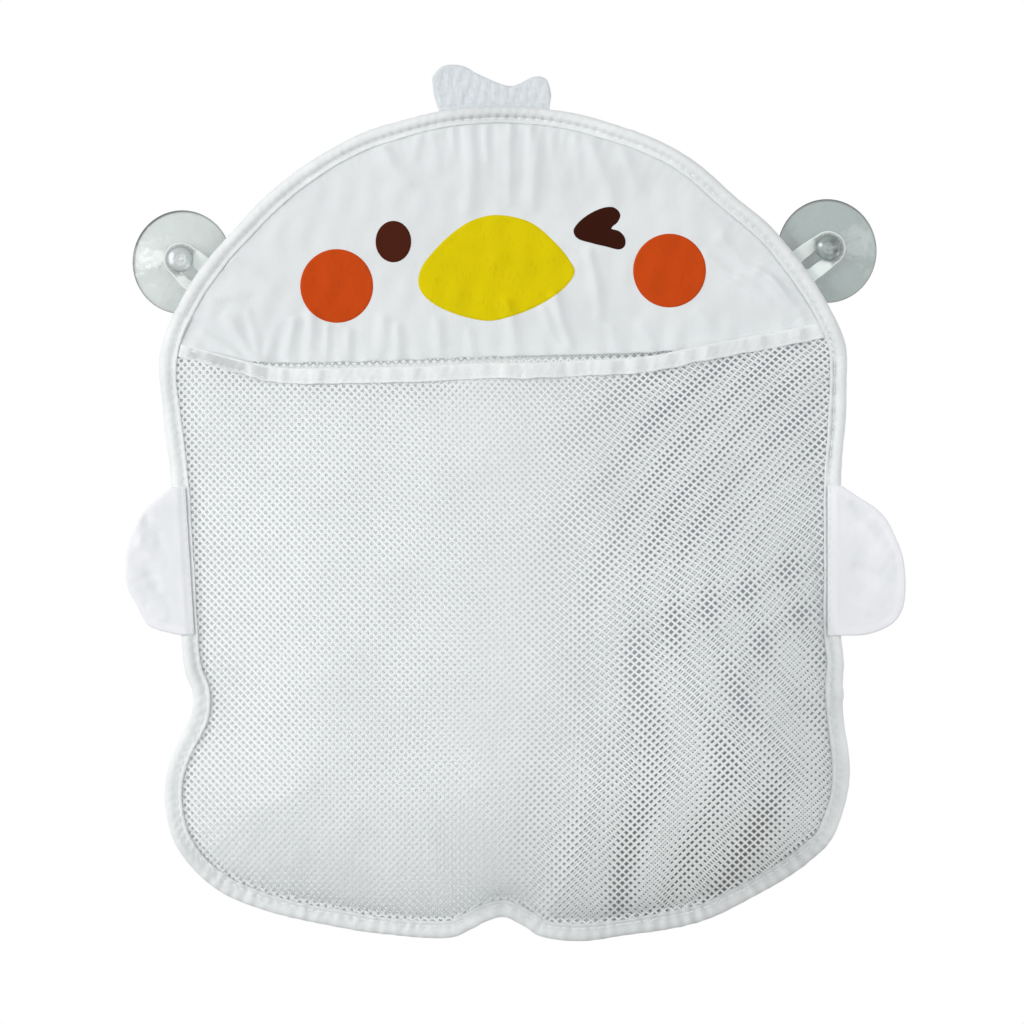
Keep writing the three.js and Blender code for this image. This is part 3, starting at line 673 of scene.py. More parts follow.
def both_sides(values, room):
    """Values at the points of a pillow's front and back."""
    return np.concatenate([values, values[room >= RIM_ROOM]])


def rounded(room, radius):
    """Share of the full thickness beside a rounded rim."""
    return np.sqrt(np.clip(1 - (1 - np.clip(room / radius, 0, 1)) ** 2, 0, 1))


def placer(origin, ahead, aside):
    """A function that puts a piece's own flat places into the plane of the bag."""
    return lambda local: origin + local[:, :1] * ahead + local[:, 1:] * aside


def pick_none():
    """Deselects everything, because an operator acts on all that is selected."""
    for item in bpy.context.view_layer.objects:
        item.select_set(False)


def mesh_normals(piece):
    """Smooth shading, except across sharp edges."""
    pick_none()
    piece.select_set(True)
    bpy.context.view_layer.objects.active = piece
    bpy.ops.object.shade_smooth_by_angle(angle=math.radians(SHARP_ANGLE))
    piece.select_set(False)


# Finishes

def add_node(tree, kind, inputs=None, **settings):
    node = tree.nodes.new(kind)
    for key, value in settings.items():
        setattr(node, key, value)
    for key, value in (inputs or {}).items():
        if isinstance(value, bpy.types.NodeSocket):
            tree.links.new(value, node.inputs[key])
        else:
            node.inputs[key].default_value = value
    return node


def new_finish(name, colour, roughness, sockets=None):
    """A material with its even values on the shader's own sockets."""
    material = bpy.data.materials.new(name)
    material.use_nodes = True
    shader = material.node_tree.nodes["Principled BSDF"]
    shader.inputs["Base Color"].default_value = (*colour, 1)
    shader.inputs["Roughness"].default_value = roughness
    for key, value in (sockets or {}).items():
        shader.inputs[key].default_value = value
    return material, material.node_tree, shader


def object_place(tree):
    return add_node(tree, "ShaderNodeTexCoord").outputs["Object"]


def map_place(tree):
    return add_node(tree, "ShaderNodeUVMap", uv_map="weave_map").outputs["UV"]


def bands(tree, place, pitch, direction, distortion=0.5):
    """Even ribs of a pitch in metres, from 0 to 1."""
    values = {"Vector": place, "Scale": 0.31416 / pitch, "Distortion": distortion, "Detail": 1.0}
    node = add_node(tree, "ShaderNodeTexWave", values, wave_type="BANDS", bands_direction=direction)
    return node.outputs["Fac"]


def blotches(tree, place, size, detail=3.0):
    """Soft uneven spots of a size in metres, from 0 to 1."""
    values = {"Vector": place, "Scale": 1 / size, "Detail": detail, "Roughness": 0.55}
    return add_node(tree, "ShaderNodeTexNoise", values).outputs["Fac"]


def combine(tree, operation, first, second):
    return add_node(tree, "ShaderNodeMath", {0: first, 1: second}, operation=operation).outputs[0]


def rescale(tree, value, low, high, to_low, to_high):
    values = {"Value": value, "From Min": low, "From Max": high, "To Min": to_low, "To Max": to_high}
    return add_node(tree, "ShaderNodeMapRange", values).outputs[0]


def mix_colours(tree, factor, first, second):
    node = add_node(tree, "ShaderNodeMix", data_type="RGBA")
    for index, value in ((0, factor), (6, first), (7, second)):
        if isinstance(value, bpy.types.NodeSocket):
            tree.links.new(value, node.inputs[index])
        else:
            node.inputs[index].default_value = (*value, 1)
    return node.outputs[2]


def bump(tree, shader, layers):
    """Bump from several heights in turn: each a value, its depth in metres and its strength."""
    normal = None
    for height, depth, strength in layers:
        values = {"Height": height, "Distance": depth, "Strength": strength}
        if normal is not None:
            values["Normal"] = normal
        normal = add_node(tree, "ShaderNodeBump", values).outputs[0]
    tree.links.new(normal, shader.inputs["Normal"])


def shade(colour, amount):
    """A colour made darker or lighter."""
    return tuple(min(1.0, c * amount) for c in colour)


def attribute(tree, name):
    """The value at each point that a piece carries."""
    return add_node(tree, "ShaderNodeAttribute", attribute_name=name).outputs["Fac"]


def drawn_out(tree, place, share):
    """A place whose patterns are drawn out along Z."""
    return add_node(tree, "ShaderNodeMapping", {"Vector": place, "Scale": (1.0, 1.0, share)}).outputs[0]


def toned(tree, value, low, high, colour, dark, light):
    """A colour that goes from one shade to another as a value rises."""
    return mix_colours(tree, rescale(tree, value, low, high, 0, 1), shade(colour, dark), shade(colour, light))


def plain_weave(tree, place):
    """Crossing ribs of a plain weave."""
    return combine(tree, "MAXIMUM", bands(tree, place, 0.00042, "X"), bands(tree, place, 0.00048, "Z"))


def once(build):
    """Makes each finish when it is first asked for, and keeps it."""
    def finish(name=build.__name__, colour=None):
        return bpy.data.materials.get(name) or build(name, colour)
    return finish


def tint(part):
    """One of the colours that a user may change."""
    return getattr(bpy.context.scene.organizer_colours, part)


@once
def net_yarn(name, _):
    colour = tint("net")
    material, tree, shader = new_finish(name, colour, 0.62, {"Sheen Weight": 0.25, "Sheen Roughness": 0.5})
    place = object_place(tree)
    dirt = toned(tree, blotches(tree, place, 0.03), 0.35, 0.65, colour, 0.99, 1.04)
    tree.links.new(dirt, shader.inputs["Base Color"])
    bump(tree, shader, [(blotches(tree, place, 0.00035, 2.0), 0.00008, 0.5)])
    return material


@once
def woven_cloth(name, _):
    colour = tint("cloth")
    sockets = {"Sheen Weight": 0.2, "Sheen Roughness": 0.45, "Specular IOR Level": 0.35}
    material, tree, shader = new_finish(name, colour, 0.78, sockets)
    place = object_place(tree)
    slubs = blotches(tree, drawn_out(tree, place, 0.12), 0.0011, 2.0)
    tone = toned(tree, blotches(tree, place, 0.028), 0.3, 0.7, colour, 0.965, 1.015)
    fleck = mix_colours(tree, rescale(tree, slubs, 0.55, 0.75, 0, 1), tone, shade(colour, 0.965))
    tree.links.new(fleck, shader.inputs["Base Color"])
    tree.links.new(rescale(tree, slubs, 0.3, 0.7, 0.84, 0.7), shader.inputs["Roughness"])
    bump(tree, shader, [(slubs, 0.00012, 0.35), (plain_weave(tree, place), 0.00008, 0.45)])
    return material


@once
def wing_cloth(name, _):
    """The woven cloth, brighter where several layers lie on each other, with painted light as well: painted
    shade along the folds, and the right wing painted brighter.
    """
    material = woven_cloth().copy()
    material.name = name
    tree = material.node_tree
    shader = tree.nodes["Principled BSDF"]
    weave = shader.inputs["Base Color"].links[0].from_socket
    bright = tuple(min(c * k, 1) for c, k in zip(tint("cloth"), (1.14, 1.11, 1.14)))
    # Lighter where layers lie on each other, and painted light: painted shade along the folds and a brighter
    # right wing.
    tone = mix_colours(tree, attribute(tree, "allowance"), weave, bright)
    tree.links.new(tone, shader.inputs["Base Color"])
    return material


@once
def binding_tape(name, _):
    colour = tint("tape")
    sockets = {"Sheen Weight": 0.25, "Sheen Roughness": 0.4, "Specular IOR Level": 0.4}
    material, tree, shader = new_finish(name, colour, 0.7, sockets)
    place = map_place(tree)
    ribs = bands(tree, place, 0.00052, "X", 0.3)
    weave = combine(tree, "MAXIMUM", ribs, bands(tree, place, 0.00075, "Y", 0.6))
    spots = blotches(tree, object_place(tree), 0.012)
    tone = toned(tree, spots, 0.32, 0.68, colour, 0.95, 1.02)
    # Painted shade: the tape's colour goes darker where its points carry painted shade.
    painted_shading = mix_colours(tree, attribute(tree, "lining"), tone, shade(colour, 0.68))
    tree.links.new(painted_shading, shader.inputs["Base Color"])
    tree.links.new(rescale(tree, spots, 0.3, 0.7, 0.78, 0.62), shader.inputs["Roughness"])
    creases = blotches(tree, object_place(tree), 0.0035, 4.0)
    bump(tree, shader, [(creases, 0.0008, 0.4), (weave, 0.00008, 0.45)])
    return material


@once
def sewing_thread(name, _):
    colour = tint("tape")
    material, tree, shader = new_finish(name, colour, 0.5, {"Sheen Weight": 0.3})
    twist = blotches(tree, object_place(tree), 0.0003, 1.0)
    tree.links.new(toned(tree, twist, 0, 1, colour, 0.96, 1.08), shader.inputs["Base Color"])
    bump(tree, shader, [(twist, 0.0001, 0.6)])
    return material


@once
def wool_felt(name, _):
    colour = tint("felt")
    material, tree, shader = new_finish(name, colour, 0.95, {"Sheen Weight": 0.55, "Sheen Roughness": 0.6})
    place = object_place(tree)
    streaks = blotches(tree, drawn_out(tree, place, 0.22), 0.0012, 4.0)
    lumps = blotches(tree, place, 0.0045, 5.0)
    both = combine(tree, "MULTIPLY", streaks, rescale(tree, lumps, 0.3, 0.7, 0.8, 1.25))
    tree.links.new(toned(tree, both, 0.34, 0.68, colour, 0.95, 1.06), shader.inputs["Base Color"])
    bump(tree, shader, [(lumps, 0.0009, 0.35), (streaks, 0.0005, 0.35)])
    return material


@once
def strap_vinyl(name, _):
    """Soft clear vinyl, milky on its legs, with a painted highlight along its rim and on one leg, and a ring
    of painted shade round the knob.
    """
    colour = tint("strap")
    sockets = {"Coat Weight": 0.5, "Coat Roughness": 0.12, "Specular IOR Level": 0.6}
    material, tree, shader = new_finish(name, colour, 0.22, sockets)
    place = object_place(tree)
    haze = blotches(tree, place, 0.006)
    cloud = attribute(tree, "cloud")
    thin = toned(tree, haze, 0.35, 0.65, colour, 0.5, 0.62)
    # Milky tone, painted highlights and painted shade, from the values the strap's points carry.
    tone = mix_colours(tree, rescale(tree, cloud, 0, 0.85, 0, 1), thin, shade(colour, 1.16))
    tree.links.new(tone, shader.inputs["Base Color"])
    tree.links.new(rescale(tree, cloud, 0, 1, 0.4, 0.97), shader.inputs["Alpha"])
    bump(tree, shader, [(haze, 0.0006, 0.25), (blotches(tree, place, 0.0009, 2.0), 0.00006, 0.25)])
    return material


@once
def cup_vinyl(name, _):
    """Clear vinyl with painted light: painted dark and bright marks for its refractions and glints, a painted
    dark rim line, and the right cup painted darker.
    """
    colour = tint("clear")
    sockets = {"Coat Weight": 0.3, "Coat Roughness": 0.08, "IOR": 1.45, "Specular IOR Level": 0.5}
    material, tree, shader = new_finish(name, colour, 0.25, sockets)
    place = object_place(tree)
    rim, smoke, gleam = (attribute(tree, key) for key in ("rim", "smoke", "gleam"))
    haze = blotches(tree, place, 0.013)
    clean = toned(tree, haze, 0.35, 0.65, colour, 0.93, 0.97)
    painted_shade_tone = tuple(c * k for c, k in zip(colour, (0.56, 0.62, 0.61)))
    # Painted light: a painted dark rim line and knob marks, painted highlights on the knobs, and the right
    # cup painted darker, as in shade.
    edge = mix_colours(tree, rim, mix_colours(tree, smoke, clean, painted_shade_tone), shade(colour, 0.2))
    tree.links.new(mix_colours(tree, gleam, edge, (0.93, 0.95, 1.0)), shader.inputs["Base Color"])
    marked = rescale(tree, combine(tree, "MAXIMUM", rim, gleam), 0, 1, 0, 0.9)
    body = rescale(tree, smoke, 0, 1, 0.53, 0.6)
    tree.links.new(combine(tree, "MAXIMUM", marked, body), shader.inputs["Alpha"])
    tree.links.new(rescale(tree, haze, 0.3, 0.7, 0.18, 0.32), shader.inputs["Roughness"])
    bump(tree, shader, [(blotches(tree, place, 0.0085, 2.0), 0.0022, 0.75)])
    return material


@once
def transfer_film(name, colour):
    material, tree, shader = new_finish(name, colour, 0.6, {"Specular IOR Level": 0.05})
    place = object_place(tree)
    streaks = blotches(tree, drawn_out(tree, place, 0.3), 0.0014, 3.0)
    tone = toned(tree, blotches(tree, place, 0.014), 0.35, 0.65, colour, 0.95, 1.0)
    worn = mix_colours(tree, rescale(tree, streaks, 0.55, 0.74, 0, 1), tone, shade(colour, 0.86))
    printed = mix_colours(tree, attribute(tree, "ink"), worn, shade(colour, 0.45))
    tree.links.new(printed, shader.inputs["Base Color"])
    tree.links.new(rescale(tree, streaks, 0.3, 0.7, 0.66, 0.54), shader.inputs["Roughness"])
    bump(tree, shader, [(streaks, 0.0001, 0.3), (plain_weave(tree, place), 0.00006, 0.4)])
    return material


@once
def rod_plastic(name, _):
    colour = FINISHES["rod"]
    material, tree, shader = new_finish(name, colour, 0.4)
    lines = blotches(tree, object_place(tree), 0.0008, 3.0)
    tree.links.new(toned(tree, lines, 0, 1, colour, 0.93, 1.04), shader.inputs["Base Color"])
    bump(tree, shader, [(lines, 0.0001, 0.3)])
    return material


# Sizes and colours that a user may change

def length(name, description, value):
    return FloatProperty(name=name, description=description, default=value, min=0, precision=5, unit="LENGTH")


def colour(name, slot):
    words = f"Colour of the {name.lower()}"
    return FloatVectorProperty(
        name=name, description=words, default=FINISHES[slot], min=0, max=1, subtype="COLOR"
    )


class OrganizerSizes(PropertyGroup):
    thread_spacing: length("Thread spacing", "Distance between neighbouring threads of the nets", 0.0028)
    thread_width: length("Thread width", "Width of a thread of the nets", 0.00095)
    thread_depth: length("Thread depth", "Depth of a thread of the nets", 0.0004)
    stitch_pitch: length("Stitch pitch", "Length of one stitch along the edge binding", 0.0047)
    stitch_width: length("Stitch width", "Thickness of the sewing thread", 0.00052)
    cloth_step: length("Cloth step", "Distance between the points of the cloth meshes", 0.0012)
    fuzz_length: length("Fuzz length", "Length of the felt's loose fibres", 0.0012)
    floor_drop: length("Floor drop", "How far the floor lies below the origin", 0.66)


class OrganizerColours(PropertyGroup):
    net: colour("Nets", "net")
    cloth: colour("Cloth", "cloth")
    tape: colour("Tape", "tape")
    felt: colour("Felt", "felt")
    strap: colour("Straps", "strap")
    clear: colour("Suction cups", "clear_pvc")
    orange: colour("Cheeks", "print_orange")
    yellow: colour("Beak", "print_yellow")
    brown: colour("Eyes", "print_brown")


# Stage

# The wall stands just behind the cups and turns into the floor by a rounded corner. Sizes are in metres.
WALL_Y = 0.0006
WALL_HALF_WIDTH = 3.2
WALL_TOP = 2.4
FLOOR_REACH = 3.6
CORNER_RADIUS = 0.12

# A painted shadow of the bag on the wall behind it, which shows through the nets: its tones at the bag's
# left, its right and its lower right, and the reach and spacing of the mesh that carries it, in millimetres
LEFT_SHADE = (0.78, 0.81, 0.82)
RIGHT_SHADE = (0.24, 0.26, 0.28)
LOW_SHADE = (0.13, 0.13, 0.125)
SHADE_WIDTH = (-180, 181)
SHADE_HEIGHT = (-352, 82)
SHADE_STEP = 1.8
SHADE_GAP = 0.2

# The floor glows less than the wall and takes shadows instead.
FLOOR_GLOW = (0.62, 0.62, 0.62)
FLOOR_PAINT = (0.45, 0.45, 0.45)
WHITE = (1.0, 1.0, 1.0)
BLACK = (0.0, 0.0, 0.0)

# Lamps: name, place, target, size in metres and power in watts
LAMPS = (
    ("key_lamp", (-2.3, -2.2, 0.35), (0, 0, -0.13), 1.2, 36),
    ("fill_lamp", (2.4, -2.4, 0.6), (0, 0, -0.13), 1.8, 31),
    ("side_lamp", (-3.0, -0.92, 0.5), (0, 0, -0.06), 1.0, 20),
    ("back_lamp", (0.3, 2.6, 0.6), (0, 0, -0.13), 2.2, 16),
)
CAMERA_PLACE = (0.0038, -2.214, -0.1318)
CAMERA_LENS = 151.7
CAMERA_SENSOR = 36


def seen_directly(tree):
    """Whether a ray comes from the camera, also by a glossy surface or through a clear one."""
    path = add_node(tree, "ShaderNodeLightPath")
    seen = combine(tree, "MAXIMUM", path.outputs["Is Camera Ray"], path.outputs["Is Glossy Ray"])
    return combine(tree, "MAXIMUM", seen, path.outputs["Is Transmission Ray"])


def backdrop_finish():
    """A white wall for the camera that lets light through from behind, so every side of the bag is lit.

    Behind the bag it carries a painted shadow that shows through the nets.
    """
    material = bpy.data.materials.new("backdrop_white")
    material.use_nodes = True
    tree = material.node_tree
    tree.nodes.clear()
    back = add_node(tree, "ShaderNodeNewGeometry").outputs["Backfacing"]
    seen = combine(tree, "MULTIPLY", seen_directly(tree), combine(tree, "SUBTRACT", 1.0, back))
    place = object_place(tree)
    parts = add_node(tree, "ShaderNodeSeparateXYZ", {0: place})
    x, z = parts.outputs["X"], parts.outputs["Z"]
    # Painted shadow behind the bag: lighter at its left, darker at its right and darkest at its lower right.
    dim = mix_colours(tree, rescale(tree, x, -0.03, 0.08, 0, 1), LEFT_SHADE, RIGHT_SHADE)
    low = combine(tree, "MULTIPLY", rescale(tree, z, -0.23, -0.3, 0, 1), rescale(tree, x, -0.02, 0.08, 0, 1))
    painted_shadow_tone = mix_colours(tree, low, dim, LOW_SHADE)
    away = add_node(tree, "ShaderNodeVectorMath", {0: place}, operation="LENGTH").outputs["Value"]
    below = rescale(tree, z, -0.4, -0.42, 0, 1)
    floor = combine(tree, "MULTIPLY", below, rescale(tree, away, 1.1, 2.0, 1, 0))
    lit = mix_colours(tree, floor, WHITE, FLOOR_GLOW)
    tone = mix_colours(tree, attribute(tree, "behind"), lit, painted_shadow_tone)
    glow = add_node(tree, "ShaderNodeEmission", {"Color": tone, "Strength": 1.0})
    paint = add_node(tree, "ShaderNodeBsdfDiffuse", {"Color": mix_colours(tree, floor, BLACK, FLOOR_PAINT)})
    white = add_node(tree, "ShaderNodeAddShader", {0: paint.outputs[0], 1: glow.outputs[0]})
    clear = add_node(tree, "ShaderNodeBsdfTransparent")
    mixed = add_node(tree, "ShaderNodeMixShader", {0: seen, 1: clear.outputs[0], 2: white.outputs[0]})
    add_node(tree, "ShaderNodeOutputMaterial", {"Surface": mixed.outputs[0]})
    return material


def add_world():
    """Soft white light for the bag, and pure white for the camera."""
    world = bpy.data.worlds.new("studio_air")
    world.use_nodes = True
    tree = world.node_tree
    tree.nodes.clear()
    soft = add_node(tree, "ShaderNodeBackground", {"Color": (0.975, 0.988, 0.99, 1), "Strength": 0.5})
    white = add_node(tree, "ShaderNodeBackground", {"Color": (*WHITE, 1), "Strength": 1.0})
    sockets = {0: seen_directly(tree), 1: soft.outputs[0], 2: white.outputs[0]}
    mixed = add_node(tree, "ShaderNodeMixShader", sockets)
    add_node(tree, "ShaderNodeOutputWorld", {"Surface": mixed.outputs[0]})
    bpy.context.scene.world = world


def add_lamp(name, place, target, size, power):
    lamp = bpy.data.lights.new(name, "AREA")
    lamp.shape = "DISK"
    lamp.size = size
    lamp.energy = power
    holder = bpy.data.objects.new(name, lamp)
    holder.location = place
    holder.rotation_euler = (Vector(target) - Vector(place)).to_track_quat("-Z", "Y").to_euler()
    bpy.context.scene.collection.objects.link(holder)


def add_camera():
    camera = bpy.data.cameras.new("camera")
    camera.sensor_width = CAMERA_SENSOR
    camera.lens = CAMERA_LENS
    camera.clip_start, camera.clip_end = 0.05, 50
    holder = bpy.data.objects.new("camera", camera)
    holder.location = CAMERA_PLACE
    holder.rotation_euler = (math.pi / 2, 0, 0)
    bpy.context.scene.collection.objects.link(holder)
    bpy.context.scene.camera = holder


def face_forward(piece):
    """Turns a flat piece of the stage to the camera."""
    if piece.data.polygons[0].normal.y > 0:
        piece.data.flip_normals()


class ORGANIZER_OT_stage(Operator):
    """Adds the wall, the floor, the soft lamps and the camera"""
    bl_idname = "organizer.stage"
    bl_label = "Studio stage"

    def execute(self, context):
        drop = context.scene.organizer_sizes.floor_drop
        turn = np.linspace(0, math.pi / 2, 13)
        profile = [(WALL_Y, WALL_TOP)]
        profile += [
            (WALL_Y - CORNER_RADIUS * (1 - math.cos(a)), -drop + CORNER_RADIUS * (1 - math.sin(a)))
            for a in turn
        ]
        profile += [(-FLOOR_REACH, -drop)]
        points = [(x / MM, y / MM, z / MM) for x in (-WALL_HALF_WIDTH, WALL_HALF_WIDTH) for y, z in profile]
        count = len(profile)
        faces = [(k, k + 1, count + k + 1, count + k) for k in range(count - 1)]
        sweep = new_piece("backdrop", points, faces, backdrop_finish())
        face_forward(sweep)
        # A card just before the wall that carries the bag's painted shadow, fading in under the binding.
        rows = (np.arange(*SHADE_WIDTH, SHADE_STEP), np.arange(*SHADE_HEIGHT, SHADE_STEP))
        x, z = np.meshgrid(*rows, indexing="ij")
        start = np.arange(x.size).reshape(x.shape)[:-1, :-1].ravel()
        quads = np.stack([start, start + 1, start + x.shape[1] + 1, start + x.shape[1]], -1).tolist()
        points = np.stack([x.ravel(), np.full(x.size, WALL_Y / MM - SHADE_GAP), z.ravel()], -1)
        painted_shadow_card = new_piece("wall_shade", points, quads, sweep.data.materials[0])
        add_value(painted_shadow_card, "behind", smooth_step((FIELD.distance(x.ravel(), z.ravel()) - 1.5) / 5))
        face_forward(painted_shadow_card)
        add_world()
        for lamp in LAMPS:
            add_lamp(*lamp)
        add_camera()
        context.scene.view_settings.view_transform = "Standard"
        return {"FINISHED"}


# Nets

# Where both nets are turned a little, and where somebody in front of the bag looks from: X, Z and distance
SWIRL_MIDDLE = np.array([90.0, -110.0])
SWIRL_REACH = 115
SWIRL_TURN = 0.07
VIEWER = np.array([3.8, -131.8, 2214.0])

# Half the length of the longest threads, the middle that they are laid from, and how far they lie over
# and under each other where they cross
THREAD_REACH = 390
THREAD_MIDDLE = np.array([0.0, -90.0])
THREAD_OVER = 0.13

# Reach and spacing of the places where the area of a net is measured
AREA_WIDTH = (-180, 180)
AREA_HEIGHT = (-355, 80)
AREA_STEP = 2.0


def pocket_shift(line, spacing):
    """How far the pocket's net lies beside the back net, along and across the rise of its threads."""
    x, z = line.T
    apart = 0.5 * spacing * (1 - smooth_step((x + 30) / 70))
    turned = (0.57 * x - 0.82 * (z + 60) - 45) * (1 - 0.6 * smooth_step((-150 - z) / 130))
    rising = apart + 0.179 * smooth_step((x + 60) / 200) * turned
    falling = apart + 0.055 * x * smooth_step((-150 - z) / 70) * smooth_step(x / 60)
    return np.stack([rising + falling, rising - falling], -1) / 2**0.5


def back_shift(line, spacing):
    """The back net stays where it is laid."""
    return 0 * line


def seen_place(line, depth_at):
    """Where a point of the bag's plane comes on a net in front of it, for the viewer."""
    near = 1 - depth_at(line[:, 0], line[:, 1]) / VIEWER[2]
    return VIEWER[:2] + (line - VIEWER[:2]) * near[:, None]


def outward_at(depth_at, x, z):
    """Direction square to a surface, towards the viewer."""
    near = 0.6
    slope_x = (depth_at(x + near, z) - depth_at(x - near, z)) / (2 * near)
    slope_z = (depth_at(x, z + near) - depth_at(x, z - near)) / (2 * near)
    out = np.stack([-slope_x, -np.ones_like(x), -slope_z], -1)
    return out / np.linalg.norm(out, axis=-1, keepdims=True)


def warped(line, seed):
    """How far the points of a thread are pulled out of their straight line."""
    warp = [0.5 * mottle(*line.T, 95, 41 + k) + 0.16 * mottle(*line.T, 60, seed + k) for k in (0, 1)]
    arm = line - SWIRL_MIDDLE
    pull = SWIRL_TURN * np.exp(-(arm**2).sum(1) / SWIRL_REACH**2)
    slant = 0.00015 * line[:, 0] ** 2
    return np.stack([warp[0] - arm[:, 1] * pull + slant, warp[1] + arm[:, 0] * pull], -1)


def runs_inside(room):
    """First and last places of each stretch of a thread that has room, short of the thread's own ends."""
    inside = room > 0
    for start in np.nonzero(inside & ~np.roll(inside, 1))[0]:
        stop = start
        while stop + 1 < len(room) and inside[stop + 1]:
            stop += 1
        if start > 0 and stop < len(room) - 1:
            yield start, stop


def thread_rings(run, lift, depth_at, section):
    """Rings of points round a thread along its place on the net."""
    centre = np.stack([run[:, 0], -depth_at(run[:, 0], run[:, 1]), run[:, 1]], -1)
    out = outward_at(depth_at, run[:, 0], run[:, 1])
    along = np.gradient(centre, axis=0)
    along /= np.linalg.norm(along, axis=1, keepdims=True)
    across = np.cross(along, 0.4 * out + np.array([0, -0.6, 0]))
    across /= np.linalg.norm(across, axis=1, keepdims=True)
    face = np.cross(across, along)
    middle = (centre + out * lift[:, None])[:, None]
    return middle + section[:, 0, None] * across[:, None] + section[:, 1, None] * face[:, None]


def net_threads(room_at, depth_at, sizes, shift, seed):
    """Two crossing families of threads, cut off where the room for them ends."""
    spacing, width, deep = (v / MM for v in (sizes.thread_spacing, sizes.thread_width, sizes.thread_depth))
    section = np.array([(width / 2, deep / 3), (0, -deep * 2 / 3), (-width / 2, deep / 3)])
    count = int(THREAD_REACH / spacing)
    steps = np.arange(-count, count + 1) * spacing
    threads = Tubes()
    for family in (1, -1):
        angle = math.radians(45 * family)
        ahead = np.array([math.cos(angle), math.sin(angle)])
        aside = np.array([-math.sin(angle), math.cos(angle)])
        over = THREAD_OVER * family * (-1) ** np.arange(len(steps))
        for row, offset in enumerate(steps):
            line = THREAD_MIDDLE + ahead * steps[:, None] + aside * offset
            line = seen_place(line + warped(line, seed) + shift(line, spacing), depth_at)
            room = room_at(line[:, 0], line[:, 1])
            for start, stop in runs_inside(room):
                first = room[start] / (room[start] - room[start - 1])
                last = room[stop] / (room[stop] - room[stop + 1])
                run = np.vstack([
                    line[start] + (line[start - 1] - line[start]) * first,
                    line[start:stop + 1],
                    line[stop] + (line[stop + 1] - line[stop]) * last,
                ])
                lift = np.concatenate([[0], over[start:stop + 1] * (-1) ** row, [0]])
                threads.add(thread_rings(run, lift, depth_at, section))
    return threads


def covered_area(room_at, depth_at):
    """Area of a net on its own surface, in square metres."""
    rows = (np.arange(*AREA_WIDTH, AREA_STEP), np.arange(*AREA_HEIGHT, AREA_STEP))
    x, z = (places.ravel() for places in np.meshgrid(*rows, indexing="ij"))
    inside = room_at(x, z) > 0
    out = outward_at(depth_at, x[inside], z[inside])
    return float((AREA_STEP**2 / -out[:, 1]).sum()) * MM**2


def back_room(x, z):
    """Room for the back net inside its seam."""
    return FIELD.distance(x, z) - LAYER_INSET


def front_room(x, z):
    """Room for the pocket's net inside its seam and below the mouth."""
    return np.minimum(back_room(x, z), mouth_height(x) - MOUTH_FOLD - z)


class ORGANIZER_OT_nets(Operator):
    """Adds the back net and the filled-out net of the pocket"""
    bl_idname = "organizer.nets"
    bl_label = "Nets"

    def execute(self, context):
        sizes = context.scene.organizer_sizes
        edge = ["head_binding", "body_binding"]
        panels = (
            ("back_mesh", "back_net", back_room, back_depth, back_shift, 43,
             (0.345, 0.418), "stretched", [*edge, "edge_stitches"]),
            ("pocket_mesh", "front_net", front_room, pocket_depth, pocket_shift, 51,
             (0.42, 0.38), "hung", ["mouth_binding", "mouth_stitches"]),
        )
        for name, node, room_at, depth_at, shift, seed, flat, held, sewn in panels:
            piece = net_threads(room_at, depth_at, sizes, shift, seed).piece(name, net_yarn(), False)
            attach(piece, "bag")
            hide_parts(node)
            area = covered_area(room_at, depth_at)
        return {"FINISHED"}


# Face cloth and prints

# Where the cloth is sewn under the arch of the binding, in shares of the bag's outline
FACE_ARCH = (0.098, 0.495)
FACE_COLUMNS = 260

# Rows of the cloth's points from its hem upwards, in shares of its height, closest at the hem's fold
FACE_ROWS = np.concatenate([[0, 0.004, 0.012, 0.022, 0.034], np.linspace(0.045, 1, 96)])


class ORGANIZER_OT_face(Operator):
    """Adds the wrinkled face cloth with its turned hem"""
    bl_idname = "organizer.face"
    bl_label = "Face cloth"

    def execute(self, context):
        shares = np.linspace(*FACE_ARCH, 900)
        arch = EDGE.at(shares) + inward(shares) * LAYER_INSET
        arch = arch[np.concatenate([[True], np.diff(arch[:, 0]) > 0])]
        x = np.linspace(arch[0, 0], arch[-1, 0], 4000)
        tall = np.interp(x, arch[:, 0], arch[:, 1]) - hem_height(x)
        x = x[tall > 0.3]
        mix = np.linspace(0, 1, FACE_COLUMNS)
        x = x[0] + (x[-1] - x[0]) * (mix - 0.06 * np.sin(2 * math.pi * mix) / math.pi)
        low, high = hem_height(x), np.interp(x, arch[:, 0], arch[:, 1])
        z = low + (high - low) * FACE_ROWS[:, None]
        x = np.broadcast_to(x, z.shape)
        lift = cloth_lift(x, z)
        above = z - low
        turned = 0.32 * smooth_step((5.2 - above) / 0.7) - 0.3 * smooth_step((0.35 - above) / 0.35)
        seam = -0.14 * hump(above, 4.1, 0.45)
        front = np.stack([x, -(FOLD_DEPTH + CLOTH_HALF + lift + turned + seam), z], -1)
        back = np.stack([x, -(FOLD_DEPTH - CLOTH_HALF + 0.35 + lift - 0.5 * turned), z], -1)
        points, faces = slab(front, back)
        piece = new_piece("face_panel", points, faces, woven_cloth())
        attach(piece, "bag")
        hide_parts("face_cloth")
        area = float(np.trapz(high - low, x[0])) * MM**2
        return {"FINISHED"}


def scaled(shares, place):
    """A print's outline from its shares of a place: its width, its height and its middle."""
    width, height, x, z = place
    line = Line([(u * width / 2 + x, v * height / 2 + z) for u, v in shares], True)
    return line.points[:-1] + SHIFT


def oval(place):
    """A round print's outline from its width, its height and its middle."""
    width, height, x, z = place
    turn = np.linspace(0, 2 * math.pi, 120, endpoint=False)
    return np.stack([x + width / 2 * np.cos(turn), z + height / 2 * np.sin(turn)], -1) + SHIFT


# A film's thickness, its rounded rim, how far it stands before and reaches behind the front of the cloth,
# and the share of dark ink in the wink
FILM_THICKNESS = 0.13
FILM_RIM = 0.15
FILM_GAP = 0.04
FILM_SINK = 0.12
WINK_INK = 0.85


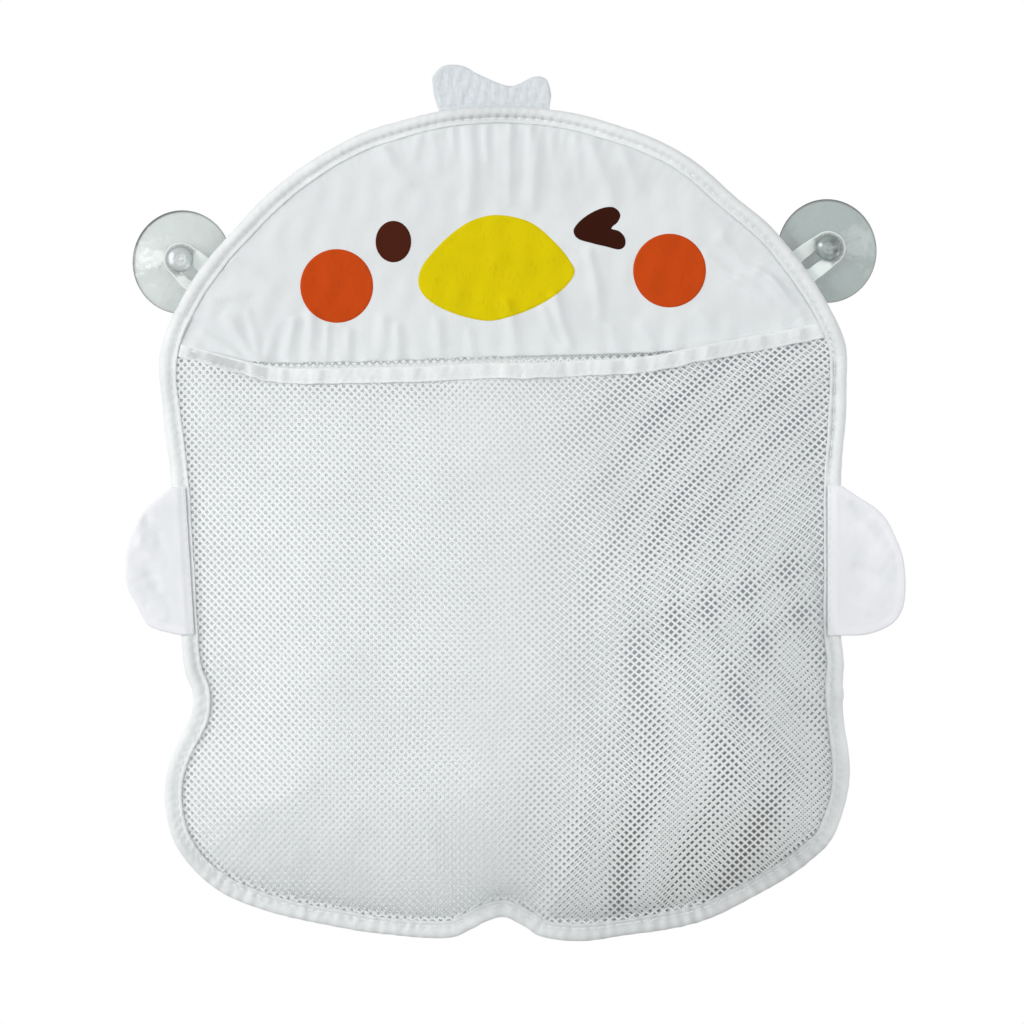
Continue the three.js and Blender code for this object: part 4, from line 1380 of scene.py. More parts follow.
class ORGANIZER_OT_prints(Operator):
    """Adds the printed films of the beak, the eyes and the cheeks"""
    bl_idname = "organizer.prints"
    bl_label = "Prints"

    def execute(self, context):
        tints = context.scene.organizer_colours
        step = context.scene.organizer_sizes.cloth_step / MM
        films = (
            ("beak_film", "beak_print", scaled(BEAK_SHARES, BEAK), "print_yellow", tints.yellow),
            ("wink_film", "wink_print", scaled(WINK_SHARES, WINK), "print_brown", tints.brown),
            ("eye_film", "eye_print", oval(EYE), "print_brown", tints.brown),
            ("left_cheek_film", "left_cheek_print", oval(LEFT_CHEEK), "print_orange", tints.orange),
            ("right_cheek_film", "right_cheek_print", oval(RIGHT_CHEEK), "print_orange", tints.orange),
        )
        for name, node, outline, slot, shown in films:
            flat, faces, room = fill_patch(outline, step, (FILM_RIM,))
            face = cloth_front(flat[:, 0], flat[:, 1])
            thick = FILM_THICKNESS * rounded(room, FILM_RIM)
            points, faces = pillow(flat, faces, room, face + FILM_GAP + thick, face - FILM_SINK)
            piece = new_piece(name, points, faces, transfer_film(f"film_{slot}", tuple(shown)))
            add_value(piece, "ink", np.full(len(points), WINK_INK if node == "wink_print" else 0.0))
            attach(piece, "bag")
            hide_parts(node)
        return {"FINISHED"}


# Bindings

# Half the section of the edge tape, outside and inside: distance inwards, and depth from its fold's middle
TUBE_SIDE = [
    (0.1, 0.8), (0.42, 1.65), (1.05, 2.4), (1.95, 2.92), (2.9, 3.12), (3.9, 3.08), (4.75, 2.78),
    (5.35, 2.28), (5.85, 1.72), (6.28, 1.42), (6.7, 1.56), (7.15, 1.86), (7.8, 2.02), (8.4, 2.0),
    (8.68, 1.88), (8.74, 1.66),
]
TAPE_RETURN = [(8.6, 1.46), (6.28, 1.12), (4.6, 1.62), (2.9, 1.72), (1.7, 1.45), (1.15, 0.8)]

# Where the groove for the stitches lies, how deep its floor is, and the spacing of the tape's rings
GROOVE = 6.3
GROOVE_DEPTH = 1.42
RING_SPACING = 0.95

# How far the body's binding laps the head's at each shoulder, and how far the head's front is pressed flat
SHOULDER_LAP = 3.4
HEAD_DROP = 0.72

# A stitch: places along it, how far it dips into the tape there, and its thickness
STITCH_STEPS = np.array([-0.42, -0.34, -0.12, 0.12, 0.34, 0.42])
STITCH_DIPS = np.array([-0.42, 0.02, 0.24, 0.24, 0.02, -0.42])
STITCH_SWELL = np.array([0.7, 1, 1, 1, 1, 0.7])


def mirrored(side):
    """The same run of a tape's section on its back, in the opposite order."""
    return [(across, -depth) for across, depth in side[::-1]]


def sweep_tape(name, section, share, length, shape):
    """A tape as a piece, with the place of each point, from a function that shapes its section."""
    grid, number = np.meshgrid(share, np.arange(len(section)), indexing="ij")
    surface = shape(grid, section[number, 0], section[number, 1])
    points = surface.reshape(-1, 3)
    piece = new_piece(name, points, ring_faces(*surface.shape[:2]), binding_tape())
    across = np.cumsum(np.linalg.norm(np.diff(section, axis=0, prepend=section[-1:]), axis=1))
    add_map(piece, np.repeat(share * length, len(section)), np.tile(across, len(share)))
    return piece, points


class Binding:
    """One length of the folded edge tape, between two shares of the bag's outline."""

    def __init__(self, start, stop, drop, pitch):
        self.start, self.stop, self.drop, self.pitch = start, stop, drop, pitch
        front, inside = (
            [(across, depth - drop * float(smooth_step((across - 4.6) / 1.6))) for across, depth in side]
            for side in (TUBE_SIDE, TAPE_RETURN)
        )
        self.section = np.array([
            *mirrored(TUBE_SIDE), (0, 0), *front, *inside, (1.0, 0), *mirrored(TAPE_RETURN),
        ])

    def shape(self, share, distance, depth):
        """Places on the binding's skin, for arrays of shares, distances inwards and depths."""
        run = share * EDGE.length
        edge, into = EDGE.at(share), inward(share)
        x, z = edge[..., 0], edge[..., 1]
        tube = 1 - smooth_step((distance - 4.9) / 1.2)
        flange = smooth_step((distance - 6.6) / 1.2)
        beat = np.cos(2 * math.pi * run / self.pitch)
        low = (hump(x, -79, 42) + 0.8 * hump(x, 96, 34)) * smooth_step((-300 - z) / 12)
        top = hump(x, 0, 46) * smooth_step((z - 40) / 12)
        pleat = np.maximum(np.sin(2 * math.pi * run / 8.3 + 1.3 * wander(run, 40, 73)), 0) ** 2
        rodless = smooth_step((share % 1 - RIGHT_WAIST) / 0.012) * smooth_step((1 - share % 1) / 0.012)

        swell = 1 + 0.07 * wander(run, 31, 71) + 0.035 * wander(run, 12, 72)
        swell = swell - (0.02 + 0.04 * top) * beat * tube
        swell = swell + (0.05 + 0.1 * low) * pleat * (0.35 + low) * tube
        swell = swell * (1 - 0.4 * rodless * tube)

        outer = 0.32 * wander(run, 47, 74) + 0.07 * wander(run, 9, 75) + 0.15 * low * pleat
        inner = 0.18 * wander(run, 30, 76) - 0.05 * beat + 0.3 * low * (pleat - 0.3)
        place = distance - outer * tube * (1 - distance / 6) + inner * flange

        pull = (0.5 - 0.5 * beat) ** 2 * (0.7 + 0.4 * wander(run, 17, 78)) * (1 + 1.1 * top)
        dimple = 0.5 * pull * hump(distance, 5.1, 1.2) + 0.2 * pull * hump(distance, 7.3, 0.7)
        crease = wander(run + 0.8 * distance, 6.6, 79) + 0.8 * wander(run - 1.1 * distance, 4.2, 80)
        crease = crease * (0.06 + 0.06 * rodless + 0.06 * top) * smooth_step(distance / 1.6)
        height = depth * swell + np.sign(depth) * (flange * 0.12 * (1 + wander(run, 8, 77)) - dimple + crease)

        # Only the body's tape laps over the other, and it is fuller there.
        if not self.drop:
            before, after = (share - self.start) * EDGE.length, (self.stop - share) * EDGE.length
            near_ends = np.maximum(hump(before, 0, 9), hump(after, 0, 9))
            height = height * (1 + 0.16 * near_ends * smooth_step(before / 0.5) * smooth_step(after / 0.5))
            place = place - 0.3 * near_ends * tube
        past_waist = run - RIGHT_WAIST * EDGE.length
        waist = smooth_step(past_waist / 0.8) * smooth_step((6.4 - past_waist) / 0.8)
        height = height * (1 + 0.16 * waist)
        place = place - 0.45 * waist * tube
        flat = edge + into * place[..., None]
        return np.stack([flat[..., 0], -(FOLD_DEPTH + height), flat[..., 1]], -1)

    def dullness(self, points, share):
        """Painted shade: the tape is drawn greyer where shade falls: over the crest, in the stitch holes, on
        the upper right, in the groove on the right side and along the bottom.
        """
        x, z = points[:, 0], points[:, 2]
        run = np.repeat(share * EDGE.length, len(self.section))
        distance = np.tile(self.section[:, 0], len(share))
        at_top = smooth_step((z - 40) / 12)
        over_crest = hump(x, CREST_X, 36) ** 2 * at_top
        # Painted shade in the stitch holes, strongest near the crest.
        holes = (0.5 - 0.5 * np.cos(2 * math.pi * run / self.pitch)) ** 2 * hump(distance, 5.4, 1.1)
        holes = holes * (0.25 + 0.75 * hump(x, CREST_X, 60) * at_top) * (1 + 0.5 * wander(run, 23, 69))
        # Painted shade on the upper right side, and deeper in the groove there.
        right = 0.22 * smooth_step((x - 70) / 40) * smooth_step((z + 70) / 30)
        groove = hump(distance, 6.6, 1.1) * smooth_step((x - 100) / 20) * (1 + 0.3 * wander(run, 14, 61))
        groove = 0.95 * groove * smooth_step((z + 114) / 8) * smooth_step((-48 - z) / 10)
        # Painted shade along the bottom, darker towards the right.
        below = 0.3 + 0.35 * smooth_step((x - 10) / 40) + 0.25 * wander(run, 7.5, 68)
        below = below * smooth_step((-292 - z) / 16)
        return np.clip(0.5 * over_crest + 0.65 * holes + right + groove + below, 0, 1)

    def stitch(self, run, face, thread):
        """One stitch that lies in the groove and dips into the tape at both ends."""
        share = (run + STITCH_STEPS * self.pitch) / EDGE.length
        depth = (GROOVE_DEPTH - (self.drop if face > 0 else 0) + STITCH_DIPS) * face
        centre = self.shape(share, np.full(len(share), GROOVE), depth)
        into = inward(share)
        side = np.stack([into[:, 0], np.zeros(len(share)), into[:, 1]], -1)
        return stitch_rings(centre, side, (STITCH_SWELL * thread)[:, None, None])


class ORGANIZER_OT_bindings(Operator):
    """Adds the two lengths of edge binding with their puckers and stitches"""
    bl_idname = "organizer.bindings"
    bl_label = "Edge bindings"

    def execute(self, context):
        sizes = context.scene.organizer_sizes
        pitch, thread = sizes.stitch_pitch / MM, sizes.stitch_width / MM / 2
        lap = SHOULDER_LAP / EDGE.length
        stretches = (
            ("head_binding", "head_edge_tape", Binding(LEFT_LAP, RIGHT_LAP, HEAD_DROP, pitch)),
            ("body_binding", "body_edge_tape", Binding(RIGHT_LAP - lap, 1 + LEFT_LAP + lap, 0.0, pitch)),
        )
        stitches = Tubes()
        for name, node, tape in stretches:
            count = int((tape.stop - tape.start) * EDGE.length / RING_SPACING)
            share = np.linspace(tape.start, tape.stop, count)
            piece, points = sweep_tape(name, tape.section, share, EDGE.length, tape.shape)
            # Painted shade that the tape's finish reads.
            add_value(piece, "lining", tape.dullness(points, share))
            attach(piece, "bag")
            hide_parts(node)
            mesh_normals(piece)
            first = int(tape.start * EDGE.length / pitch) + 1
            for number in range(first, int(tape.stop * EDGE.length / pitch)):
                for face in (1, -1):
                    stitches.add(tape.stitch(number * pitch, face, thread))
        piece = stitches.piece("edge_stitches", sewing_thread())
        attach(piece, "bag")
        return {"FINISHED"}


# Half the section of the mouth's tape, outside and inside: distance downwards and depth
MOUTH_SIDE = [
    (0.28, 0.72), (0.8, 1.14), (1.8, 1.36), (3.6, 1.42), (5.4, 1.34), (6.1, 1.24), (6.45, 1.12), (6.8, 1.24),
    (7.4, 1.34), (8.0, 1.32), (8.2, 1.14), (8.2, 0.86),
]
MOUTH_RETURN = [(8.05, 0.8), (6.45, 0.66), (3.6, 0.86), (1.4, 0.8)]

# Folds across the mouth binding: X, width and height
MOUTH_CREASES = [
    (-118, 1.3, 0.5), (-109, 1.6, -0.4), (-102, 1.2, 0.45), (-92, 2, -0.35), (-70, 2.6, 0.3), (-44, 3, -0.3),
    (-12, 2.4, 0.25), (31, 1.1, -0.55), (35, 1.4, 0.35), (66, 2, 0.4), (71, 2.2, -0.9), (76, 1.2, 0.6),
    (98, 3, -0.3), (122, 2.6, 0.35), (140, 2.2, -0.35),
]

# Where the mouth binding turns up to its left end, how many rings its tape has, and its stitches
MOUTH_TURN = -128
MOUTH_RINGS = 300
MOUTH_PITCH = 3.4
MOUTH_THREAD = 0.2
MOUTH_STITCH_ROW = 6.45
MOUTH_STITCH_STEPS = np.array([-0.42, -0.3, 0, 0.3, 0.42])
MOUTH_STITCH_DEPTHS = 1.12 + np.array([-0.3, 0.04, 0.14, 0.04, -0.3])


class ORGANIZER_OT_mouth(Operator):
    """Adds the tape that binds the bowed mouth of the pocket"""
    bl_idname = "organizer.mouth"
    bl_label = "Mouth binding"

    def execute(self, context):
        share = np.linspace(0, 1, 1400)
        top = MOUTH.at(share)
        share = share[FIELD.distance(top[:, 0], top[:, 1]) > LAYER_INSET + 0.8]
        share = np.linspace(share[0], share[-1], MOUTH_RINGS)
        section = np.array([
            *mirrored(MOUTH_SIDE), (0, 0), *MOUTH_SIDE, *MOUTH_RETURN, (0.9, 0), *mirrored(MOUTH_RETURN),
        ])
        piece, points = sweep_tape("mouth_binding", section, share, MOUTH.length, self.shape)
        # Painted shade between the folded edges of the mouth tape.
        add_value(piece, "lining", self.dullness(points[:, 0], np.tile(section[:, 0], len(share))))
        mesh_normals(piece)
        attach(piece, "bag")
        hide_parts("mouth_tape")
        stitches = Tubes()
        first, last = (int(end * MOUTH.length / MOUTH_PITCH) for end in (share[0], share[-1]))
        for number in range(first + 2, last):
            for face in (1, -1):
                steps = (number + MOUTH_STITCH_STEPS) * MOUTH_PITCH / MOUTH.length
                centre = self.shape(steps, np.full(len(steps), MOUTH_STITCH_ROW), MOUTH_STITCH_DEPTHS * face)
                stitches.add(stitch_rings(centre, np.array([0.0, 0.0, 1.0]), MOUTH_THREAD, 5))
        piece = stitches.piece("mouth_stitches", sewing_thread())
        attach(piece, "bag")
        return {"FINISHED"}

    def dullness(self, x, down):
        """Painted shade: the tape is drawn greyer between its folded edges, so that the edges look lit, and
        most of all at its left end, where it turns down.
        """
        between = smooth_step((down - 0.7) / 1.0) * smooth_step((8 - down) / 1.2)
        at_left = 0.85 * smooth_step((-118 - x) / 8) * smooth_step((x + 172) / 30)
        painted_shading = at_left + 0.16 + 0.3 * wander(x, 13, 87) + 0.16 * wander(x + 0.6 * down, 5, 88)
        return between * painted_shading * (1 - hump(x, -129.5, 2.5))

    def shape(self, share, down, depth):
        """Places on the skin of the mouth binding."""
        top = MOUTH.at(share)
        x, upper = top[..., 0], top[..., 1]
        run = share * MOUTH.length
        beat = np.cos(2 * math.pi * run / MOUTH_PITCH)
        turned = smooth_step((MOUTH_TURN - x) / 5)
        lower = smooth_step((down - 5) / 3) * (0.25 * wander(run, 17, 81) - 0.05 * beat)
        tall = down * (1 - 0.12 * hump(x, -126, 2.6) - 0.14 * turned) + lower
        sway = 0.35 * wander(run, 70, 82) * smooth_step((FIELD.distance(x, upper) - 9) / 20)
        z = upper - tall + sway
        height = 1 + 0.12 * wander(run, 24, 83) + 0.3 * hump(x, -129.5, 2.4) + 0.3 * hump(x, -122.5, 2.4)
        height = depth * height
        free = smooth_step((FIELD.distance(x, z) - 9) / 10)
        slant = x + 0.25 * (down - 4) * wander(run, 30, 86)
        creases = sum(rise * hump(slant, middle, width) for middle, width, rise in MOUTH_CREASES)
        wave = 0.45 * wander(run, 19, 84) * np.sin(down / MOUTH_WIDTH * 2.4) + 0.14 * wander(run, 4.4, 85)
        tilt = (0.5 - 0.24 * down) * turned - 0.1 * down * hump(x, 71, 5)
        tucked = smooth_step((10.2 - FIELD.distance(x, z)) / 2.2)
        middle = mouth_depth(x, z) * (1 - tucked) + FOLD_DEPTH * tucked
        return np.stack([x, -(middle + height * (1 - 0.7 * tucked) + free * (wave + creases + tilt)), z], -1)


# Wings and crest

# Distances from a wing's rim where its cloth needs points, and the stitches that hold it to the binding
WING_RIMS = (0.18, 0.5, 0.95)
WING_STITCH_STEPS = np.array([-0.4, -0.3, 0, 0.3, 0.4])
WING_STITCH_DEPTHS = 17.3 + np.array([-0.35, 0.1, 0.3, 0.1, -0.35])
WING_STITCH_ROW = 1.1 - WING_LAP
WING_THREAD = 0.26

# How far inside its hinge each end of a stretch of a wing lies; the script works out both ends but uses them
# for nothing, so the wing does not bend
WING_BEND_INSET = 0.2


class ORGANIZER_OT_wings(Operator):
    """Adds the two sewn wings, each one piece from its seam to its tip"""
    bl_idname = "organizer.wings"
    bl_label = "Wings"

    def execute(self, context):
        step = context.scene.organizer_sizes.cloth_step / MM
        pitch = context.scene.organizer_sizes.stitch_pitch / MM
        wings = (
            ("left_wing", -1, LEFT_WING_REACH, LEFT_WING_SHARES, LEFT_WING, LEFT_WING_FOLDS, 91),
            ("right_wing", 1, RIGHT_WING_REACH, RIGHT_WING_SHARES, RIGHT_WING, RIGHT_WING_FOLDS, 95),
        )
        for name, side, reach, shares, (top_share, bottom_share), folds, seed in wings:
            top, bottom = EDGE.at(top_share), EDGE.at(bottom_share)
            seam = float(np.linalg.norm(top - bottom))
            up = (top - bottom) / seam
            place = placer(top, np.array([up[1], -up[0]]) * side, up)
            lobe = Line([(u * reach, v * seam) for u, v in shares], False).points
            outline = np.vstack([[(-WING_LAP, 0)], lobe, [(-WING_LAP, -seam)]])
            flat, faces, room = fill_patch(outline, step, WING_RIMS)
            out, (x, z) = flat[:, 0], place(flat).T
            sewn = smooth_step((-out - 2.6) / 3.2)
            free = smooth_step((room - 4.4) / 2.2)
            run = np.arctan2(flat[:, 1] + seam / 2, out) * 22
            pucker = pleats(run, 5.3, wander(run, 19, seed)) * hump(room, 4.2, 1.5)
            soft = 0.5 * mottle(x, z, 17, seed + 1) + 0.2 * mottle(x, z, 7, seed + 2)
            dents = fold_lift(x, z, folds)
            sway = (2.4 * dents + 0.7 * soft) * smooth_step(out / 8) * smooth_step(room / 5)
            groove = 0.28 * hump(room, 4.3, 0.55) * smooth_step((out + 1) / 3)
            thick = WING_THICKNESS * rounded(room, 0.85) * (1 - 0.3 * free) * (1 - 0.5 * sewn)
            middle = WING_BACK_DEPTH + WING_THICKNESS / 2 + 0.15 - 1.15 * sewn + sway
            front = middle + thick / 2 - groove - 0.18 * pucker
            back = middle - thick / 2 + groove + 0.1 * pucker
            points, faces = pillow(flat, faces, room, front, back, place)
            piece = new_piece(f"{name}_cloth", points, faces, wing_cloth())
            # Painted light: the right wing is painted brighter than the left, and the folds' heights are
            # painted as light and shade over a random mottle. The layered rim is lighter too.
            uneven = 0.18 * mottle(x, z, 21, seed + 3) + 0.5 * dents
            band = np.clip(0.7 + 0.15 * side + 0.45 * smooth_step((5.4 - room) / 2.4) + uneven, 0, 1)
            add_value(piece, "allowance", both_sides(band, room))
            mesh_normals(piece)
            bend = ((far, -seam / 2) for far in (WING_BEND_INSET, 2 * WING_HINGE - WING_BEND_INSET))
            hinge = place(np.array(list(bend)))
            start, end = ((p[0] * MM, -WING_BACK_DEPTH * MM, p[1] * MM) for p in hinge)
            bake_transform(piece)
            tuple(start)
            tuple(end)
            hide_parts(f"{name}_front", f"{name}_back", f"{name}_seam")
            self.stitches(name, place, seam, pitch)
        return {"FINISHED"}

    def stitches(self, name, place, seam, pitch):
        """The row of stitches that holds the wing in the groove of the binding."""
        stitches = Tubes()
        for number in range(int(seam / pitch)):
            steps = (WING_STITCH_STEPS - number - 0.5) * pitch
            x, z = place(np.stack([np.full(len(steps), WING_STITCH_ROW), steps], -1)).T
            centre = np.stack([x, -WING_STITCH_DEPTHS, z], -1)
            stitches.add(stitch_rings(centre, np.array([1.0, 0.0, 0.0]), WING_THREAD))
        piece = stitches.piece(f"{name}_stitches", sewing_thread())
        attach(piece, "bag")


# The crest's loose fibres: how many there are and how wide
CREST_FIBRES = 3000
FIBRE_WIDTH = 0.04

# Spacing of the felt's points, and the distances from its rim where it needs closer ones
CREST_STEP = 0.8
CREST_RIMS = (0.2, 0.55, 1.0)


class ORGANIZER_OT_crest(Operator):
    """Adds the fluffy felt crest"""
    bl_idname = "organizer.crest"
    bl_label = "Crest"

    def execute(self, context):
        fuzz = context.scene.organizer_sizes.fuzz_length / MM
        foot = EDGE.at((LEFT_LAP + RIGHT_LAP) / 2)[1]
        size = np.array([CREST_WIDTH, CREST_HEIGHT])
        line = Line(CREST_SHARES * size, False).points
        outline = np.vstack([line, CREST_FOOT_SHARES * size]) + np.array([CREST_X + SHIFT[0], foot])
        flat, faces, room = fill_patch(outline, CREST_STEP, CREST_RIMS)
        x, z = flat[:, 0], flat[:, 1]
        full = rounded(room, 1.25)
        lumps = 0.22 * mottle(x, z, 5.5, 61) + 0.16 * mottle(x, z, 2.3, 62)
        lumps = lumps + 0.1 * mottle(x * 1.6, z * 0.4, 1.7, 63)
        half = CREST_THICKNESS / 2
        middle = CREST_BACK_DEPTH + half + 0.35 * mottle(x, z, 26, 64) * smooth_step((z - foot) / 8)
        front = middle + full * (half - 0.2 + lumps)
        back = middle - full * (half - 0.2 + 0.8 * lumps[::-1])
        points, shell = pillow(flat, faces, room, front, back)
        piece = new_piece("crest_tuft", points, shell, wool_felt())
        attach(piece, "bag")
        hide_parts("crest_felt")
        dice = np.random.RandomState(67)
        rim = np.nonzero((room < RIM_ROOM) & (z > foot + 1))[0]
        on_face = np.nonzero((room > 0.1) & (z > foot + 0.5))[0]
        fibres = []
        for number in range(CREST_FIBRES):
            at_rim = number % 4 == 0
            k = dice.choice(rim if at_rim else on_face)
            depth = middle[k] + dice.uniform(-0.7, 0.7) if at_rim else front[k]
            if not at_rim and dice.rand() < 0.4:
                depth = back[k]
            start = np.array([x[k], -depth, z[k]])
            aim = dice.normal(size=3) * np.array([0.8, 0.5, 0.8]) + np.array([0, 0, 0.35])
            if at_rim:
                near = flat[(room > 0.9) & (np.hypot(x - x[k], z - z[k]) < 2.2)].mean(0)
                away = flat[k] - near
                aim += 1.1 * np.array([away[0], 0, away[1]]) / max(np.linalg.norm(away), 1e-6)
            else:
                aim[1] = (-abs(aim[1]) - 0.35) * (-1 if depth == back[k] else 1)
            aim /= np.linalg.norm(aim)
            fibres.append((start, aim * fuzz * dice.uniform(0.3, 0.55 if at_rim else 0.8)))
        self.add_fibres(fibres, dice)
        return {"FINISHED"}

    def add_fibres(self, fibres, dice):
        """Fine loose fibres, each a slim three-sided spike with a bend."""
        points, faces = [], []
        for number, (start, aim) in enumerate(fibres):
            side = np.cross(aim, dice.normal(size=3))
            side /= np.linalg.norm(side)
            other = np.cross(aim, side) / np.linalg.norm(aim)
            bend = side * np.linalg.norm(aim) * 0.3
            ring = [side, -0.5 * side + 0.87 * other, -0.5 * side - 0.87 * other]
            points += [start - 0.15 * aim + corner * FIBRE_WIDTH for corner in ring]
            points += [start + 0.5 * aim + bend * 0.3 + corner * FIBRE_WIDTH * 0.8 for corner in ring]
            points += [start + aim + bend]
            b = number * 7
            faces += [(b, b + 1, b + 4, b + 3), (b + 1, b + 2, b + 5, b + 4), (b + 2, b, b + 3, b + 5)]
            faces += [(b + 3, b + 4, b + 6), (b + 4, b + 5, b + 6), (b + 5, b + 3, b + 6), (b + 2, b + 1, b)]
        piece = new_piece("crest_fibres", points, faces, wool_felt(), False)
        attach(piece, "bag")


# Straps and suction cups

def hanger_frame(share, reach):
    """The centre of a cup, and the directions towards the bag and along its edge."""
    centre = cup_place(share, reach)
    into = inward(share)
    return centre, into, np.array([-into[1], into[0]])


# Spacing of the straps' points, distances from their rim with closer ones, and half the length of a stretch
# round the hinge, whose ends are worked out but used for nothing
STRAP_STEP = 0.9
STRAP_RIMS = (0.15, 0.45, 0.9)
STRAP_BEND = 1.4


class ORGANIZER_OT_straps(Operator):
    """Adds the two soft straps, each one piece from its loop to its sewn end"""
    bl_idname = "organizer.straps"
    bl_label = "Straps"

    def execute(self, context):
        for side, share, reach in (("left", LEFT_STRAP, LEFT_REACH), ("right", RIGHT_STRAP, RIGHT_REACH)):
            half, eye = STRAP_HALF_WIDTH, STRAP_EYE
            turn = np.linspace(math.pi / 2, 3 * math.pi / 2, 40)
            end = reach + STRAP_LAP
            outline = [(end, -half), (end, half), *[(half * math.cos(a), half * math.sin(a)) for a in turn]]
            eye_end = reach + STRAP_SLOT_OVERRUN - eye
            hole = [(eye * math.cos(a), eye * math.sin(a)) for a in turn]
            hole += [(eye_end + eye * math.cos(a), eye * math.sin(a)) for a in turn + math.pi]
            flat, faces, room = fill_patch(outline, STRAP_STEP, STRAP_RIMS, [hole])
            place = placer(*hanger_frame(share, reach))
            u, v = flat[:, 0], flat[:, 1]
            spread = np.interp(v, (-half, -eye, eye, half), STRAP_SPREAD[side])
            spread = spread * smooth_step((u + 1.2) / 11.2)
            flat = np.stack([u, v + spread], -1)
            crown = 0.22 * np.cos(math.pi / 2 * np.clip((np.abs(v) - (half + eye) / 2) / 2.9, -1, 1))
            sewn = smooth_step((u - reach - 1) / 2.5)
            thick = STRAP_THICKNESS * rounded(room, 0.6) * (1 - 0.12 * sewn)
            ripple = 0.1 * mottle(u, v, 6, 19) * smooth_step((u + 2) / 5) * (1 - sewn)
            front = STRAP_DEPTH + thick / 2 + (crown * (1 - sewn) + ripple - 0.2) * rounded(room, 0.9)
            back = STRAP_DEPTH - thick / 2 + 0.05 * rounded(room, 0.9)
            points, shell = pillow(flat, faces, room, front, back, place)
            piece = new_piece(f"{side}_strap_band", points, shell, strap_vinyl())
            mesh_normals(piece)
            away = np.hypot(u, v)
            # Milky legs, one painted brighter as a highlight; a painted highlight along the rim; and a ring
            # of painted shade where the knob shades the strap.
            leg = smooth_step((u - 1.5) / 3.5) * np.where(v > 0, 1, 0.75) * smooth_step((away - 5.6) / 1.2)
            piping = 0.9 * hump(room, 0.55, 0.5)
            cloud = np.clip(np.maximum(leg, piping) - 0.5 * hump(away, 6.9, 0.5) * (1 - sewn), 0, 1)
            add_value(piece, "cloud", both_sides(cloud, room))
            hinge = reach - STRAP_HINGE
            ends = place(np.array([[hinge + STRAP_BEND, 0], [hinge - STRAP_BEND, 0]]))
            start, stop = ((p[0] * MM, -STRAP_DEPTH * MM, p[1] * MM) for p in ends)
            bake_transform(piece)
            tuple(start)
            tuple(stop)
            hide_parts(f"{side}_strap_loop", f"{side}_strap_seam")
        return {"FINISHED"}


# Profile of a cup: distance from its axis and from the wall
CUP_PROFILE = [
    (0.0, 4.4), (5.0, 4.35), (9.2, 4.1), (13.0, 3.5), (17.0, 2.55), (20.5, 1.3), (23.0, 0.12), (23.6, 0.0),
    (25.1, 0.0), (25.45, 0.15), (25.5, 0.5), (25.3, 0.85), (24.7, 1.02), (23.9, 1.12), (23.4, 1.35),
    (21.4, 2.4), (18.6, 3.5), (15.8, 4.55), (13.2, 5.55), (10.7, 6.35), (8.6, 6.95), (7.2, 7.2), (6.5, 7.25),
    (6.2, 7.4), (6.15, 8.35), (5.9, 8.6), (3.4, 8.6), (3.05, 8.8), (3.0, 9.4), (3.0, 11.4), (3.15, 11.85),
    (3.6, 12.0), (5.7, 12.0), (6.3, 12.15), (6.5, 12.6), (6.5, 13.3), (6.35, 14.2), (5.95, 15.2), (5.3, 16.2),
    (4.6, 16.9), (4.1, 17.2), (3.6, 17.3), (3.1, 17.2), (2.8, 16.95), (2.3, 16.8), (1.7, 16.75), (1.35, 16.5),
    (0.9, 16.15), (0.0, 16.05),
]


# How much taller and lower the loaded discs are, steps of the spin, and the reach of a merge in metres
CUP_SAG = (0.045, 0.8)
CUP_STEPS = 72
CUP_MERGE = 0.00001

# Painted refractions and highlights on the knobs: X, Z, width and darkness, below 0 where a mark is a painted
# highlight
KNOB_MARKS = {
    "left": (
        (-4.7, 1.8, 2.0, -1.5), (-4.4, -1.4, 1.6, -1.1), (4.2, -3.4, 1.0, -1.3), (3.0, -4.6, 0.9, -1.1),
        (0.5, 0.1, 0.6, -1.0), (3.4, 0.4, 1.0, 0.5), (1.3, -0.8, 0.9, 0.6), (0, 0, 5.2, -0.3),
    ),
    "right": (
        (-4.4, 1.4, 1.0, -1.9), (3.1, -1.5, 1.2, 1.3), (2.3, 3.0, 2.0, 0.75), (0, 0, 5.5, 0.3),
        (-1.0, -3.2, 1.2, 0.35), (-1.6, 0.6, 1.3, -0.35), (4.9, -3.4, 1.1, -1.2), (0.6, -5.6, 0.9, -0.6),
    ),
}


